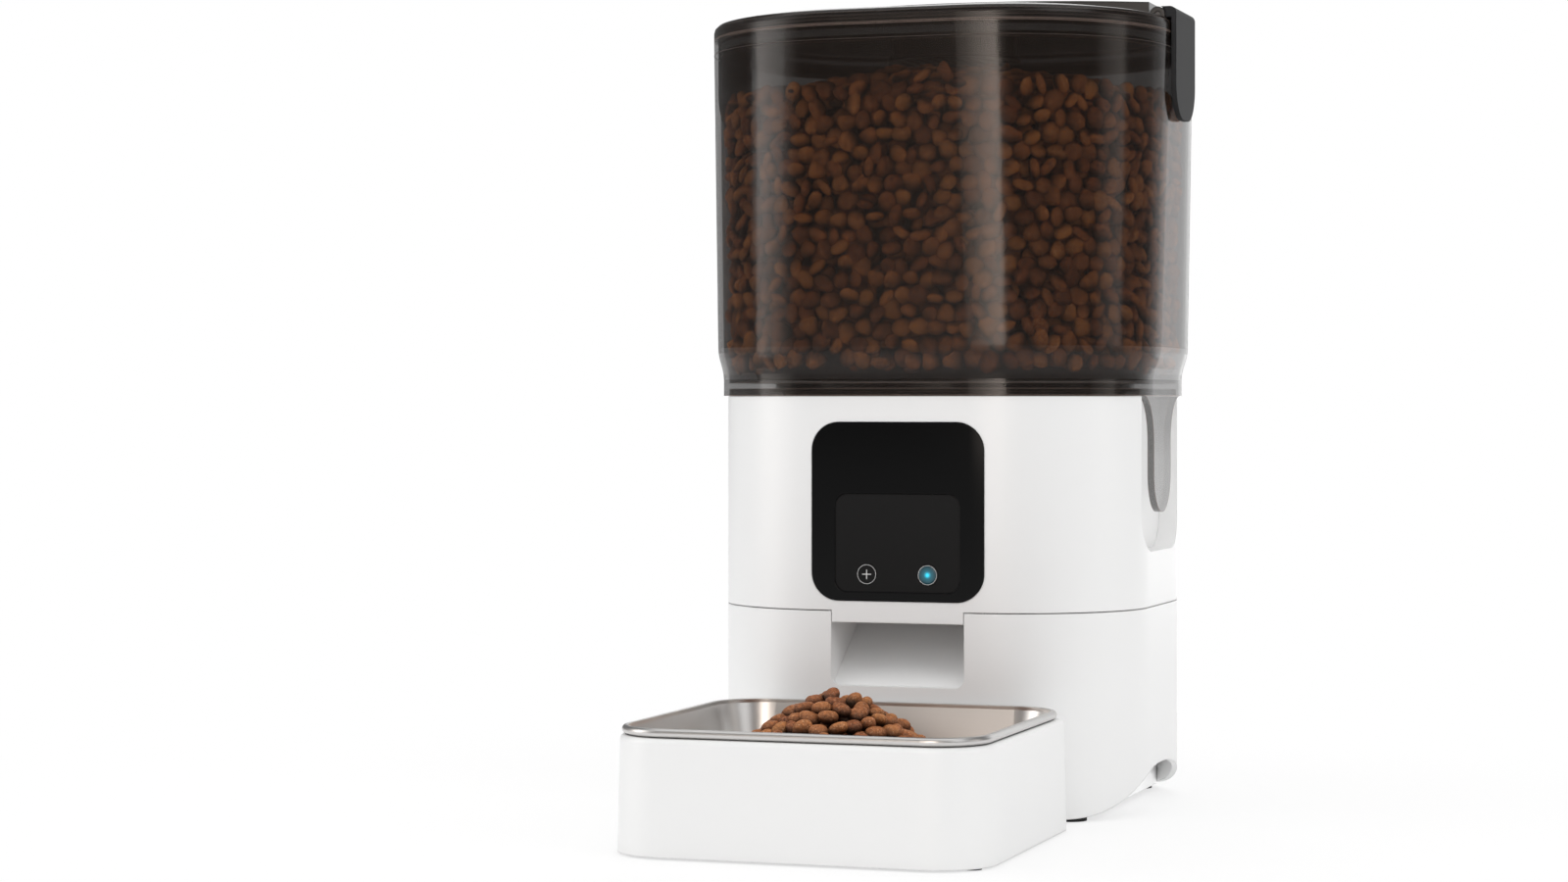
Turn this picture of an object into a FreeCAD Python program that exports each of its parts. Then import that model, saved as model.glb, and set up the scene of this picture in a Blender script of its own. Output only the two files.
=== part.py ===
"""Automatic pet feeder: food tank, portion rotor, geared drive, chute, tray and bowl.

Millimetres. X runs to the right, Y to the back, Z up. The origin is on the ground under the
middle of the whole feeder, tray included. Each function makes one sub-part, or one group of
like sub-parts, and the last lines write one STEP file for each.
"""
import FreeCAD
import Part
import math
import os

V = FreeCAD.Vector

# ---- driving dimensions ------------------------------------------------------------------
body_w = 190.0            # housing, side to side
body_d = 178.0            # housing, front to back
body_r = 63.0             # housing corner, seen from above
wall = 2.4                # housing wall
foot_h = 2.0              # rubber foot
skirt_z = 1.6             # lower edge of the housing above the ground
seam_z = 88.8             # joint between lower and upper housing
seam_gap = 0.4
housing_top = 180.6       # upper edge of the housing
neck_over = 2.0           # tank neck beyond the housing, all round
shoulder_side = 3.25      # tank just above its neck, beyond the neck
shoulder_front = 1.5
flare_side = 3.05         # tank mouth beyond the shoulder
flare_front = 3.1
flare_r = 11.0            # corner radius gained from neck to mouth
neck_z = 188.0            # top of the straight neck
shoulder_z = 202.0
tank_top = 339.3
tank_wall = 2.5
tray_w = 154.8
tray_reach = 147.0        # tray front ahead of the housing front
tray_top = 47.1
tray_r_front = 25.0
tray_r_back = 15.0
tray_draft = 1.0          # how much narrower each side is at the top
bowl_margin = 1.9         # tray edge to the bowl's rolled rim
bowl_r = 21.0
bowl_depth = 37.0
panel_w = 76.4
panel_h = 76.3
panel_r = 12.2
panel_bottom = 93.2
mouth_w = 59.0            # chute mouth
mouth_bottom = 56.9
mouth_top = 83.9
mouth_r = 4.3
key_r = 4.2
key_z = 104.6
key_offset = 13.5         # each key from the middle of the panel
key_travel = 0.6
recess_deep = 9.0         # finger recess in each side of the upper housing
recess_half = 36.0
recess_bottom = 113.0
recess_r = 16.0
grip_half = 76.0          # hand grip arch in each side of the lower housing
grip_peak = 19.4
grip_deep = 14.0
clip_w = 40.0             # lid clip and lid band
clip_tip_z = 302.0
clip_thick = 2.2
tongue_half = 17.0        # grip tongue of the tank
tongue_tip_z = 129.6
tongue_thick = 3.0
chamber_r = 50.0          # inside radius of the portion chamber
chamber_bottom = 117.0
chamber_top = 146.0
funnel_r = 78.0           # inside radius at the top of the funnel
tank_floor = 186.5        # upper face of the tank floor around the funnel
module = 0.8              # gears
drive_teeth = 48
idler_small_teeth = 14
idler_large_teeth = 42
motor_teeth = 14
cell_r = 16.6             # D cell
cell_len = 60.0
cell_count = 3

# ---- named clearances --------------------------------------------------------------------
gap = 0.3                 # between pieces that lift apart or slide past each other
running = 0.05            # radial, shaft in its bearing
key_gap = 0.25            # around a key
backlash = 0.16           # along the pitch circle, between meshing teeth
far = 500.0               # reach of a cutting block that passes everything

# ---- places worked out from them ---------------------------------------------------------
neck_w = body_w + 2 * neck_over
neck_d = body_d + 2 * neck_over
neck_r = body_r + neck_over
shoulder_w = neck_w + 2 * shoulder_side
shoulder_d = neck_d + 2 * shoulder_front
shoulder_r = neck_r + flare_r / 3
tank_w = shoulder_w + 2 * flare_side
tank_d = shoulder_d + 2 * flare_front
tank_r = neck_r + flare_r
bowl_w = tray_w - 2 * bowl_margin
front = (tray_reach - (body_d + tank_d) / 2) / 2
axis_y = front + body_d / 2
back = front + body_d
half_w = body_w / 2
inner_x = half_w - wall
inner_front = front + wall
inner_back = back - wall
deck_floor_top = chamber_bottom - gap
deck_floor = 3.0
deck_bottom = deck_floor_top - deck_floor
tank_bottom = housing_top + gap
idler_y = axis_y + module * (drive_teeth + idler_small_teeth) / 2
motor_y = idler_y + module * (idler_large_teeth + motor_teeth) / 2
outlet_half_x = 15.0
outlet_half_y = 8.0
outlet_y = axis_y - chamber_r + outlet_half_y + 5.0
base_top = foot_h + wall
lid_z = tank_top + gap
floor_low = tank_floor - tank_wall
pin_x = tank_w / 2 - 5.8
pin_z = lid_z + 7.6
barrel_r = 3.4
panel_top = panel_bottom + panel_h
panel_mid = (panel_bottom + panel_top) / 2
plate_w = 55.3
plate_h = 41.8
plate_bottom = panel_bottom + 3.9
plate_r = 5.5

# housing
post_angle = math.radians(75)
post_reach = body_r - wall - 4.1
post_x = half_w - body_r + post_reach * math.cos(post_angle)
post_y = body_d / 2 - body_r + post_reach * math.sin(post_angle)
post_r = 4.5
screw_r = 1.5
screw_head_r = 2.8
screw_head_h = 1.2
screw_hole_r = 1.6
upper_post_top = seam_z + 20.0
grip_in_x = inner_x - grip_deep
grip_wall = 1.8
prong_x = 24.0
prong_w = 10.0
prong_z = 17.0
prong_h = 6.0
prong_in = 8.0
socket_x = 24.0
socket_z = 20.0
socket_barrel_r = 4.0
speaker_x = -16.0
speaker_z = 66.0
speaker_r = 14.0
foot_r = 7.0
feet_reach = body_r - foot_r - 3.0

# front panel and keys
panel_gap = 0.15
panel_depth = 1.4
panel_proud = 0.3
plate_gap = 0.1
plate_sunk = 0.25
key_proud = 0.15
board_front = inner_front + 4.0
board_thick = 1.6
board_w = 66.0
board_h = 58.0
post_pin_r = 1.8
plate_flange = 1.2
switch_h = 1.6

# base
door_gap = 0.4
box_wall = 1.8
battery_y0 = axis_y + 4.0
battery_z = base_top + cell_r + 3.4
cell_pitch = 2 * cell_r + 1.2
door_w = cell_count * cell_pitch + 4.8
door_d = cell_len + 6.0
main_board_z = battery_z + cell_r + gap + box_wall + 2.0

# chute and deck
chute_wall = 2.0
chute_back = outlet_y + outlet_half_y + 2.0
chute_front = outlet_y - outlet_half_y - 2.0
chute_low = 97.0

# gearbox and drive
case_bottom = 80.0
case_wall = 2.0
case_half = 25.0
case_y0 = chute_back + chute_wall + 1.0
case_y1 = motor_y + 15.0
cover_z = deck_bottom - case_wall
drive_z0 = 98.0
drive_z1 = 106.0
idler_z0 = 88.0
idler_z1 = 94.0
shaft_r = 5.0
journal_r = 3.0
idler_pin_r = 1.5
motor_r = 12.0
motor_len = 28.0
hex_flat = 12.0
hex_corner = hex_flat / math.sqrt(3)
hex_top = chamber_bottom + 11.0

# tank
rotor_low = chamber_bottom + 2.6 + gap
rotor_top = chamber_top - 5.0
rotor_r = chamber_r - 1.4
paddle_count = 6
shield_z = rotor_top + 1.5

# lid
lid_wall = 2.2
lid_edge_z = lid_z + 3.0
lid_crown_z = lid_z + 6.4
lid_rise = 5.6
lid_flat = 72.0
lip_low = tank_top - 7.0
lip_inset = tank_wall + 1.7
lip_wall = 2.0
seal_low = tank_top - 4.6
seal_high = tank_top - 1.6
band_rise = 4.0
band_bow = 1500.0
band_end = pin_x - barrel_r - gap
band_top = lid_crown_z + lid_rise + band_rise
cheek_w = 4.8
pocket_z = pin_z - barrel_r - gap
clip_pin_r = 1.2
desiccant_r = 28.0
desiccant_low = lip_low - 1.0

# tray and bowl
tray_back = front - gap
tray_front = front - tray_reach
pad_h = 0.8
rim_r = 1.7
rim_z = tray_top + gap + rim_r
bowl_half = bowl_w / 2 - rim_r
bowl_y0 = tray_front + (tray_w - bowl_w) / 2 + rim_r
bowl_y1 = tray_back - 2.0 - rim_r
bowl_sheet = 0.8
bowl_taper = 8.0
tray_top_r = 2.0


# ---- small helpers -----------------------------------------------------------------------
def box(x0, x1, y0, y1, z0, z1):
    return Part.makeBox(x1 - x0, y1 - y0, z1 - z0, V(x0, y0, z0))


def cylinder(r, x, y, z0, z1):
    return Part.makeCylinder(r, z1 - z0, V(x, y, z0))


def rod_y(r, x, z, y0, y1):
    return Part.makeCylinder(r, y1 - y0, V(x, y0, z), V(0, 1, 0))


def fuse(shapes):
    result = shapes[0]
    for shape in shapes[1:]:
        result = result.fuse(shape)
    return result.removeSplitter()


def cut(shape, *tools):
    for tool in tools:
        shape = shape.cut(tool)
    return shape


def mirror_x(shape):
    return shape.mirror(V(0, 0, 0), V(1, 0, 0))


def group(shapes):
    return Part.makeCompound(shapes)


def corner_arc(cx, cy, r, start, z):
    points = []
    for step in (0, 45, 90):
        angle = math.radians(start + step)
        points.append(V(cx + r * math.cos(angle), cy + r * math.sin(angle), z))
    return Part.Arc(*points).toShape()


def outline(x0, x1, y0, y1, r_front, r_back, z):
    """Closed rectangle with rounded corners at height z."""
    edges = []
    edges.append(Part.LineSegment(V(x0 + r_front, y0, z), V(x1 - r_front, y0, z)).toShape())
    edges.append(corner_arc(x1 - r_front, y0 + r_front, r_front, -90, z))
    edges.append(Part.LineSegment(V(x1, y0 + r_front, z), V(x1, y1 - r_back, z)).toShape())
    edges.append(corner_arc(x1 - r_back, y1 - r_back, r_back, 0, z))
    edges.append(Part.LineSegment(V(x1 - r_back, y1, z), V(x0 + r_back, y1, z)).toShape())
    edges.append(corner_arc(x0 + r_back, y1 - r_back, r_back, 90, z))
    edges.append(Part.LineSegment(V(x0, y1 - r_back, z), V(x0, y0 + r_front, z)).toShape())
    edges.append(corner_arc(x0 + r_front, y0 + r_front, r_front, 180, z))
    return Part.Wire(edges)


def about_axis(w, d, r, inset, z):
    """Rounded rectangle centred on the drive axis, drawn in by inset."""
    hx = w / 2 - inset
    hy = d / 2 - inset
    return outline(-hx, hx, axis_y - hy, axis_y + hy, r - inset, r - inset, z)


def prism(wire, height):
    return Part.Face(wire).extrude(V(0, 0, height))


def body_block(inset, z0, z1):
    return prism(about_axis(body_w, body_d, body_r, inset, z0), z1 - z0)


def loft(wires):
    return Part.makeLoft(wires, True, True)


def upright_plate(w, h, r, z0, y0, y1):
    """Plate that faces the front: w wide, h high, from y0 to y1."""
    wire = outline(-w / 2, w / 2, 0, h, r, r, 0)
    plate = prism(wire, y1 - y0)
    plate.rotate(V(0, 0, 0), V(1, 0, 0), 90)
    plate.translate(V(0, y1, z0))
    return plate


def side_profile(points_wire, x0, x1):
    return Part.Face(points_wire).extrude(V(x1 - x0, 0, 0))


def polygon_yz(points, x):
    return Part.makePolygon([V(x, y, z) for y, z in points + points[:1]])


def polygon_xz(points, y):
    return Part.makePolygon([V(x, y, z) for x, z in points + points[:1]])


# ---- gears -------------------------------------------------------------------------------
def involute_point(base_r, roll, turn):
    x = base_r * (math.cos(roll) + roll * math.sin(roll))
    y = base_r * (math.sin(roll) - roll * math.cos(roll))
    return V(x * math.cos(turn) - y * math.sin(turn), x * math.sin(turn) + y * math.cos(turn), 0)


def gear_face(teeth, phase):
    """Spur gear outline; one tooth is centred on the angle phase."""
    pitch_r = module * teeth / 2
    base_r = pitch_r * math.cos(math.radians(20))
    tip_r = pitch_r + 0.85 * module
    root_r = pitch_r - 1.3 * module
    start_r = max(base_r, root_r + 0.02)
    roll_pitch = math.tan(math.radians(20))
    half_tooth = math.pi / (2 * teeth) - backlash / (4 * pitch_r)
    skew = half_tooth + roll_pitch - math.radians(20)
    roll_start = math.sqrt(max(0.0, (start_r / base_r) ** 2 - 1))
    roll_tip = math.sqrt((tip_r / base_r) ** 2 - 1)
    edges = []
    for tooth in range(teeth):
        middle = phase + 2 * math.pi * tooth / teeth
        flank = []
        for step in range(5):
            roll = roll_start + (roll_tip - roll_start) * step / 4
            flank.append(involute_point(base_r, roll, middle - skew))
        other = []
        for step in range(5):
            roll = roll_start + (roll_tip - roll_start) * step / 4
            point = involute_point(base_r, roll, 0)
            mirrored = math.atan2(-point.y, point.x) + middle + skew
            length = math.hypot(point.x, point.y)
            other.append(V(length * math.cos(mirrored), length * math.sin(mirrored), 0))
        low = math.atan2(flank[0].y, flank[0].x)
        root_in = V(root_r * math.cos(low), root_r * math.sin(low), 0)
        high = math.atan2(other[0].y, other[0].x)
        root_out = V(root_r * math.cos(high), root_r * math.sin(high), 0)
        tip = V(tip_r * math.cos(middle), tip_r * math.sin(middle), 0)
        valley = middle + math.pi / teeth
        root_mid = V(root_r * math.cos(valley), root_r * math.sin(valley), 0)
        following = middle + 2 * math.pi / teeth
        next_low = low - middle + following
        next_in = V(root_r * math.cos(next_low), root_r * math.sin(next_low), 0)
        edges.append(Part.LineSegment(root_in, flank[0]).toShape())
        rising = Part.BSplineCurve()
        rising.interpolate(flank)
        edges.append(rising.toShape())
        edges.append(Part.Arc(flank[-1], tip, other[-1]).toShape())
        falling = Part.BSplineCurve()
        falling.interpolate(other[::-1])
        edges.append(falling.toShape())
        edges.append(Part.LineSegment(other[0], root_out).toShape())
        edges.append(Part.Arc(root_out, root_mid, next_in).toShape())
    return Part.Face(Part.Wire(edges))


def gear(teeth, phase, x, y, z0, z1):
    solid = gear_face(teeth, phase).extrude(V(0, 0, z1 - z0))
    solid.translate(V(x, y, z0))
    return solid


# ---- housing -----------------------------------------------------------------------------


def post_places():
    places = []
    for side_x in (-1, 1):
        for side_y in (-1, 1):
            places.append((side_x * post_x, axis_y + side_y * post_y))
    return places


def grip_arch():
    """Bell-shaped cut along the lower edge of each side."""
    points = []
    steps = 24
    for step in range(steps + 1):
        offset = grip_half * (2 * step / steps - 1)
        share = (abs(offset) / grip_half) ** 1.3
        height = skirt_z + (grip_peak - skirt_z) * math.cos(math.pi / 2 * share) ** 2
        points.append(V(-half_w - 5, axis_y + offset, height))
    curve = Part.BSplineCurve()
    curve.interpolate(points)
    low_front = V(points[0].x, points[0].y, -5)
    low_back = V(points[-1].x, points[-1].y, -5)
    edges = [curve.toShape()]
    edges.append(Part.LineSegment(points[-1], low_back).toShape())
    edges.append(Part.LineSegment(low_back, low_front).toShape())
    edges.append(Part.LineSegment(low_front, points[0]).toShape())
    return side_profile(Part.Wire(edges), -half_w - 5, half_w + 5)


def mouth_cut():
    """Chute mouth: square top, rounded lower corners."""
    height = seam_z + 10 - mouth_bottom
    wire = outline(-mouth_w / 2, mouth_w / 2, 0, height, mouth_r, 0.5, 0)
    shape = prism(wire, 20)
    shape.rotate(V(0, 0, 0), V(1, 0, 0), 90)
    shape.translate(V(0, inner_front + 2, mouth_bottom))
    return shape


def speaker_slots():
    slots = []
    for row in range(-2, 3):
        z = speaker_z + row * 4.4
        reach = math.sqrt((speaker_r - 3) ** 2 - (row * 4.4) ** 2)
        slots.append(box(speaker_x - reach, speaker_x + reach, inner_back - 1, back + 1, z - 0.9, z + 0.9))
    return slots


def make_lower_housing():
    top = seam_z - seam_gap / 2
    shell = cut(body_block(0, skirt_z, top), body_block(wall, skirt_z - 1, top + 1))
    inside = body_block(wall / 2, skirt_z, top)
    posts = []
    for x, y in post_places():
        posts.append(cylinder(post_r, x, y, base_top, top).common(inside))
    shell = fuse([shell] + posts)
    for x, y in post_places():
        shell = shell.cut(cylinder(screw_hole_r, x, y, 0, top + 1))
    shell = cut(shell, grip_arch(), mouth_cut())
    for side in (-1, 1):
        x = side * prong_x
        half = prong_w / 2 + gap
        tall = prong_h / 2 + gap
        shell = shell.cut(box(x - half, x + half, front - 1, inner_front + 1, prong_z - tall, prong_z + tall))
    shell = shell.cut(rod_y(socket_barrel_r, socket_x, socket_z, inner_back - 1, back + 1))
    return cut(shell, *speaker_slots())


def recess_block(grow, x0, x1, top):
    """Finger recess of one side, grown by grow, as a block from x0 to x1."""
    half = recess_half + grow
    wire = outline(axis_y - half, axis_y + half, recess_bottom - grow, top + 2 * recess_r,
                   recess_r + grow, recess_r, 0)
    block = Part.Face(wire).extrude(V(0, 0, x1 - x0))
    block.rotate(V(0, 0, 0), V(0, 0, 1), 90)
    block.rotate(V(0, 0, 0), V(0, 1, 0), 90)
    block.translate(V(x0, 0, 0))
    return block.common(box(x0 - 1, x1 + 1, -far, far, 0, top))


def both_sides(shape):
    return [shape, mirror_x(shape)]


def make_upper_housing():
    bottom = seam_z + seam_gap / 2
    shell = cut(body_block(0, bottom, housing_top), body_block(wall, bottom - 1, housing_top + 1))
    inside = body_block(wall / 2, bottom, housing_top)
    adds = []
    for x, y in post_places():
        adds.append(cylinder(post_r, x, y, bottom, upper_post_top).common(inside))
    pocket_back = half_w - recess_deep
    adds += both_sides(recess_block(wall, pocket_back - wall, inner_x + wall / 2, housing_top))
    tab = box(-mouth_w / 2 + gap, mouth_w / 2 - gap, front, inner_front, mouth_top, bottom + 1)
    shell = fuse([shell, tab] + adds)
    for pocket in both_sides(recess_block(0, pocket_back, half_w + 5, housing_top + 1)):
        shell = shell.cut(pocket)
    for x, y in post_places():
        shell = shell.cut(cylinder(screw_hole_r, x, y, bottom - 1, upper_post_top - 2))
    seat = panel_solid(panel_w + 2 * panel_gap, panel_h + 2 * panel_gap, panel_r, 5, panel_depth)
    window = upright_plate(panel_w - 10, panel_h - 8, panel_r - 4, panel_bottom + 2, front - 5, front + 9)
    return cut(shell, seat, window)


# ---- front panel and keys ----------------------------------------------------------------


def panel_solid(w, h, r, proud, depth):
    """Upright plate that follows the curve of the housing front."""
    low = panel_mid - h / 2
    slab = upright_plate(w, h, r, low, front - 10, front + 12)
    skin = cut(body_block(-proud, low - 5, low + h + 5), body_block(depth, low - 6, low + h + 6))
    return slab.common(skin)


def key_places():
    return (("feed_key", -key_offset), ("setup_key", key_offset))


def make_front_panel():
    panel = panel_solid(panel_w, panel_h, panel_r, panel_proud, panel_depth)
    hole_w = plate_w + 2 * plate_gap
    hole_h = plate_h + 2 * plate_gap
    hole = upright_plate(hole_w, hole_h, plate_r, plate_bottom - plate_gap, front - 5, front + 5)
    posts = []
    for x in (-board_w / 2 + 2, board_w / 2 - 2):
        for z in (panel_top - 20.0, panel_top - 50.0):
            posts.append(rod_y(post_pin_r, x, z, front + 0.8, board_front))
    return fuse([cut(panel, hole)] + posts)


def make_key_plate():
    face = front - panel_proud + plate_sunk
    plate = upright_plate(plate_w, plate_h, plate_r, plate_bottom, face, front + panel_depth)
    flange = upright_plate(plate_w + 2 * plate_flange, plate_h + 2 * plate_flange, plate_r + plate_flange,
                           plate_bottom - plate_flange, front + panel_depth, front + panel_depth + 1.2)
    plate = fuse([plate, flange])
    for _, x in key_places():
        plate = plate.cut(rod_y(key_r + key_gap, x, key_z, front - 5, front + 5))
    return plate


def make_key(x):
    face = front - panel_proud + plate_sunk - key_proud
    cap = rod_y(key_r, x, key_z, face, front + panel_depth)
    collar = rod_y(key_r, x, key_z, front + panel_depth, front + panel_depth + 1.2)
    stem = rod_y(1.4, x, key_z, front + panel_depth + 1.2, board_front - switch_h - 0.1 - key_travel)
    return fuse([cap, collar, stem])


def make_control_board():
    z0 = plate_bottom - 1
    board = box(-board_w / 2, board_w / 2, board_front, board_front + board_thick, z0, z0 + board_h)
    chips = []
    chips.append(box(-9, 9, board_front + board_thick, board_front + board_thick + 2.4, z0 + 28, z0 + 46))
    chips.append(box(16, 26, board_front + board_thick, board_front + board_thick + 5, z0 + 8, z0 + 13))
    return fuse([board] + chips)


def make_tact_switches():
    switches = []
    for _, x in key_places():
        block = box(x - 3, x + 3, board_front - switch_h, board_front, key_z - 3, key_z + 3)
        switches.append(block)
    return group(switches)


# ---- base --------------------------------------------------------------------------------


def base_outline(inset, z0, z1):
    return body_block(wall + gap + inset, z0, z1)


def grip_spaces(grow):
    """Space of each hand grip inside the housing, grown by grow on its closed sides."""
    half = grip_half - 3 + grow
    top = grip_peak + 1 + grow
    return both_sides(box(grip_in_x - grow, half_w + 10, axis_y - half, axis_y + half, -5, top))


def feet_places():
    places = []
    shift_x = half_w - body_r + feet_reach * math.cos(math.pi / 4)
    shift_y = body_d / 2 - body_r + feet_reach * math.sin(math.pi / 4)
    for side_x in (-1, 1):
        for side_y in (-1, 1):
            places.append((side_x * shift_x, axis_y + side_y * shift_y))
    return places


def door_box(grow, z0, z1):
    y0 = battery_y0 - 1
    return box(-door_w / 2 - grow, door_w / 2 + grow, y0 - grow, y0 + door_d + grow, z0, z1)


def make_base_plate():
    plate = base_outline(0, foot_h, base_top)
    limit = base_outline(0, foot_h, grip_peak + 1 + grip_wall)
    walls = [block.common(limit) for block in grip_spaces(grip_wall)]
    plate = cut(fuse([plate] + walls), *grip_spaces(0))
    plate = plate.cut(door_box(door_gap, foot_h - 1, base_top + 1))
    for x, y in post_places():
        plate = plate.cut(cylinder(screw_hole_r, x, y, 0, base_top + 1))
        plate = plate.cut(cylinder(3.0, x, y, 0, foot_h + 1.2))
    return plate


def make_rubber_feet():
    feet = []
    for x, y in feet_places():
        feet.append(cylinder(foot_r, x, y, 0, foot_h))
    return group(feet)


def make_body_screws():
    screws = []
    for x, y in post_places():
        head = cylinder(screw_head_r, x, y, foot_h, foot_h + screw_head_h)
        shank = cylinder(screw_r, x, y, foot_h + screw_head_h, upper_post_top - 4)
        screws.append(fuse([head, shank]))
    return group(screws)


def make_battery_box():
    half = cell_count * cell_pitch / 2 + box_wall
    y1 = battery_y0 + cell_len + 4 + 2 * box_wall
    top = battery_z + cell_r + gap
    outer = box(-half, half, battery_y0, y1, base_top, top + box_wall)
    inner = box(-half + box_wall, half - box_wall, battery_y0 + box_wall, y1 - box_wall, base_top - 1, top)
    shell = outer.cut(inner)
    feet = []
    for x in (20.0, 46.0):
        for y in (battery_y0 + 8, battery_y0 + 50):
            feet.append(cylinder(2.0, x, y, top, main_board_z))
    flange = box(-half - 4, half + 4, battery_y0 - 4, y1 + 2, base_top, base_top + box_wall)
    flange = flange.cut(box(-half + 1, half - 1, battery_y0 + 1, y1 - 1, base_top - 1, base_top + 5))
    flange = flange.common(base_outline(1, 0, 50))
    return fuse([shell, flange] + feet)


def cell_places():
    return [(index - (cell_count - 1) / 2) * cell_pitch for index in range(cell_count)]


def make_battery_cells():
    cells = []
    y0 = battery_y0 + box_wall + 2
    for x in cell_places():
        can = rod_y(cell_r, x, battery_z, y0, y0 + cell_len - 1.5)
        cap = rod_y(4.5, x, battery_z, y0 + cell_len - 1.5, y0 + cell_len)
        cells.append(fuse([can, cap]))
    return group(cells)


def make_battery_contacts():
    contacts = []
    y0 = battery_y0 + box_wall
    y1 = y0 + 4 + cell_len
    for x in cell_places():
        plate = box(x - 7, x + 7, y0, y0 + 0.6, battery_z - 7, battery_z + 7)
        spring = Part.makeCone(5, 3, 1.4, V(x, y0 + 0.6, battery_z), V(0, 1, 0))
        contacts.append(fuse([plate, spring]))
        contacts.append(box(x - 7, x + 7, y1 - 2, y1, battery_z - 7, battery_z + 7))
    return group(contacts)


def make_battery_door():
    door = door_box(0, foot_h, base_top)
    grip = box(-12, 12, battery_y0 + 2, battery_y0 + 6, foot_h - 1, foot_h + 0.8)
    return door.cut(grip)


def make_main_board():
    z = main_board_z
    board = box(14, 52, battery_y0 + 4, battery_y0 + 56, z, z + board_thick)
    parts = [board]
    parts.append(cylinder(4, 24, battery_y0 + 14, z + board_thick, z + 10))
    parts.append(cylinder(4, 24, battery_y0 + 26, z + board_thick, z + 10))
    parts.append(box(34, 47, battery_y0 + 10, battery_y0 + 23, z + board_thick, z + 4))
    parts.append(box(32, 48, battery_y0 + 34, battery_y0 + 50, z + board_thick, z + 3))
    return fuse(parts)


def make_power_socket():
    body = box(socket_x - 5, socket_x + 5, inner_back - 5, inner_back, socket_z - 5, socket_z + 5)
    barrel = rod_y(socket_barrel_r, socket_x, socket_z, inner_back, back)
    bore = rod_y(2.9, socket_x, socket_z, inner_back - 4, back + 1)
    pin = rod_y(1.0, socket_x, socket_z, inner_back - 4.5, back - 1)
    return fuse([cut(fuse([body, barrel]), bore), pin])


def make_speaker():
    frame = rod_y(speaker_r, speaker_x, speaker_z, inner_back - 3, inner_back)
    magnet = rod_y(7.5, speaker_x, speaker_z, inner_back - 9, inner_back - 3)
    cone = Part.makeCone(4, speaker_r - 2, 2.4, V(speaker_x, inner_back - 2.4, speaker_z), V(0, 1, 0))
    return cut(fuse([frame, magnet]), cone)


# ---- chute and deck ----------------------------------------------------------------------


def chute_profile(x, grow):
    """Side view of the chute's inside, or of its outside when grown."""
    slope = math.atan2(chute_low - mouth_bottom, chute_back - inner_front)
    down = grow / math.cos(slope)
    points = [(inner_front, mouth_bottom - down)]
    points.append((chute_back + grow, chute_low - down + grow * math.tan(slope)))
    points.append((chute_back + grow, deck_bottom))
    points.append((chute_front - grow, deck_bottom))
    points.append((chute_front - grow, deck_bottom - 6))
    points.append((inner_front, seam_z + grow))
    return polygon_yz(points, x)


def make_food_chute():
    half = mouth_w / 2
    outer = side_profile(chute_profile(-half - chute_wall, chute_wall), -half - chute_wall, half + chute_wall)
    inner = side_profile(chute_profile(-half, 0), -half, half)
    back_strip = box(-half, half, inner_front - 1, inner_front + 0.5, mouth_bottom, seam_z)
    top_strip = box(-half, half, chute_front, chute_back, deck_bottom - 1, deck_bottom + 1)
    return cut(outer, inner, back_strip, top_strip)


def make_outlet_sensors():
    sensors = []
    x0 = mouth_w / 2 + chute_wall
    for side in both_sides(box(x0, x0 + 5, front + 24, front + 33, 79, 88)):
        sensors.append(side)
    return group(sensors)


def make_inner_deck():
    tank_out = chamber_r + tank_wall
    r_in = tank_out + 3
    slope = (funnel_r - chamber_r) / (tank_floor - chamber_top)
    flange_z = housing_top - 5
    flange_top = flange_z + wall
    r_top = r_in + slope * (flange_top - chamber_top)
    profile = [(0, deck_bottom), (r_in + 2, deck_bottom), (r_in + 2, chamber_top),
               (r_top + 2, flange_top), (r_top, flange_top), (r_in, chamber_top),
               (r_in, deck_floor_top), (0, deck_floor_top)]
    wire = polygon_xz(profile, 0)
    bowl_shape = Part.Face(wire).revolve(V(0, 0, 0), V(0, 0, 1), 360)
    bowl_shape.translate(V(0, axis_y, 0))
    flange = body_block(wall + 0.1, flange_z, flange_top)
    flange = flange.cut(cylinder(r_top, 0, axis_y, flange_z - 1, flange_top + 1))
    blocks = both_sides(recess_block(wall + 0.2, half_w - recess_deep - wall - 0.2, half_w, housing_top + 5))
    deck = cut(fuse([bowl_shape, flange]), *blocks)
    outlet = box(-outlet_half_x - 1, outlet_half_x + 1, outlet_y - outlet_half_y - 1,
                 outlet_y + outlet_half_y + 1, deck_bottom - 1, deck_floor_top + 1)
    shaft_hole = cylinder(hex_corner + 2, 0, axis_y, deck_bottom - 1, deck_floor_top + 1)
    deck = cut(deck, outlet, shaft_hole)
    for x, y in gearbox_screw_places():
        deck = deck.cut(cylinder(screw_hole_r, x, y, deck_bottom - 1, deck_bottom + 2))
    return deck


# ---- gearbox and drive -------------------------------------------------------------------


def gearbox_screw_places():
    return [(side * 21.5, y) for side in (-1, 1) for y in (case_y0 + 4.0, axis_y + 44.0)]


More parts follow.
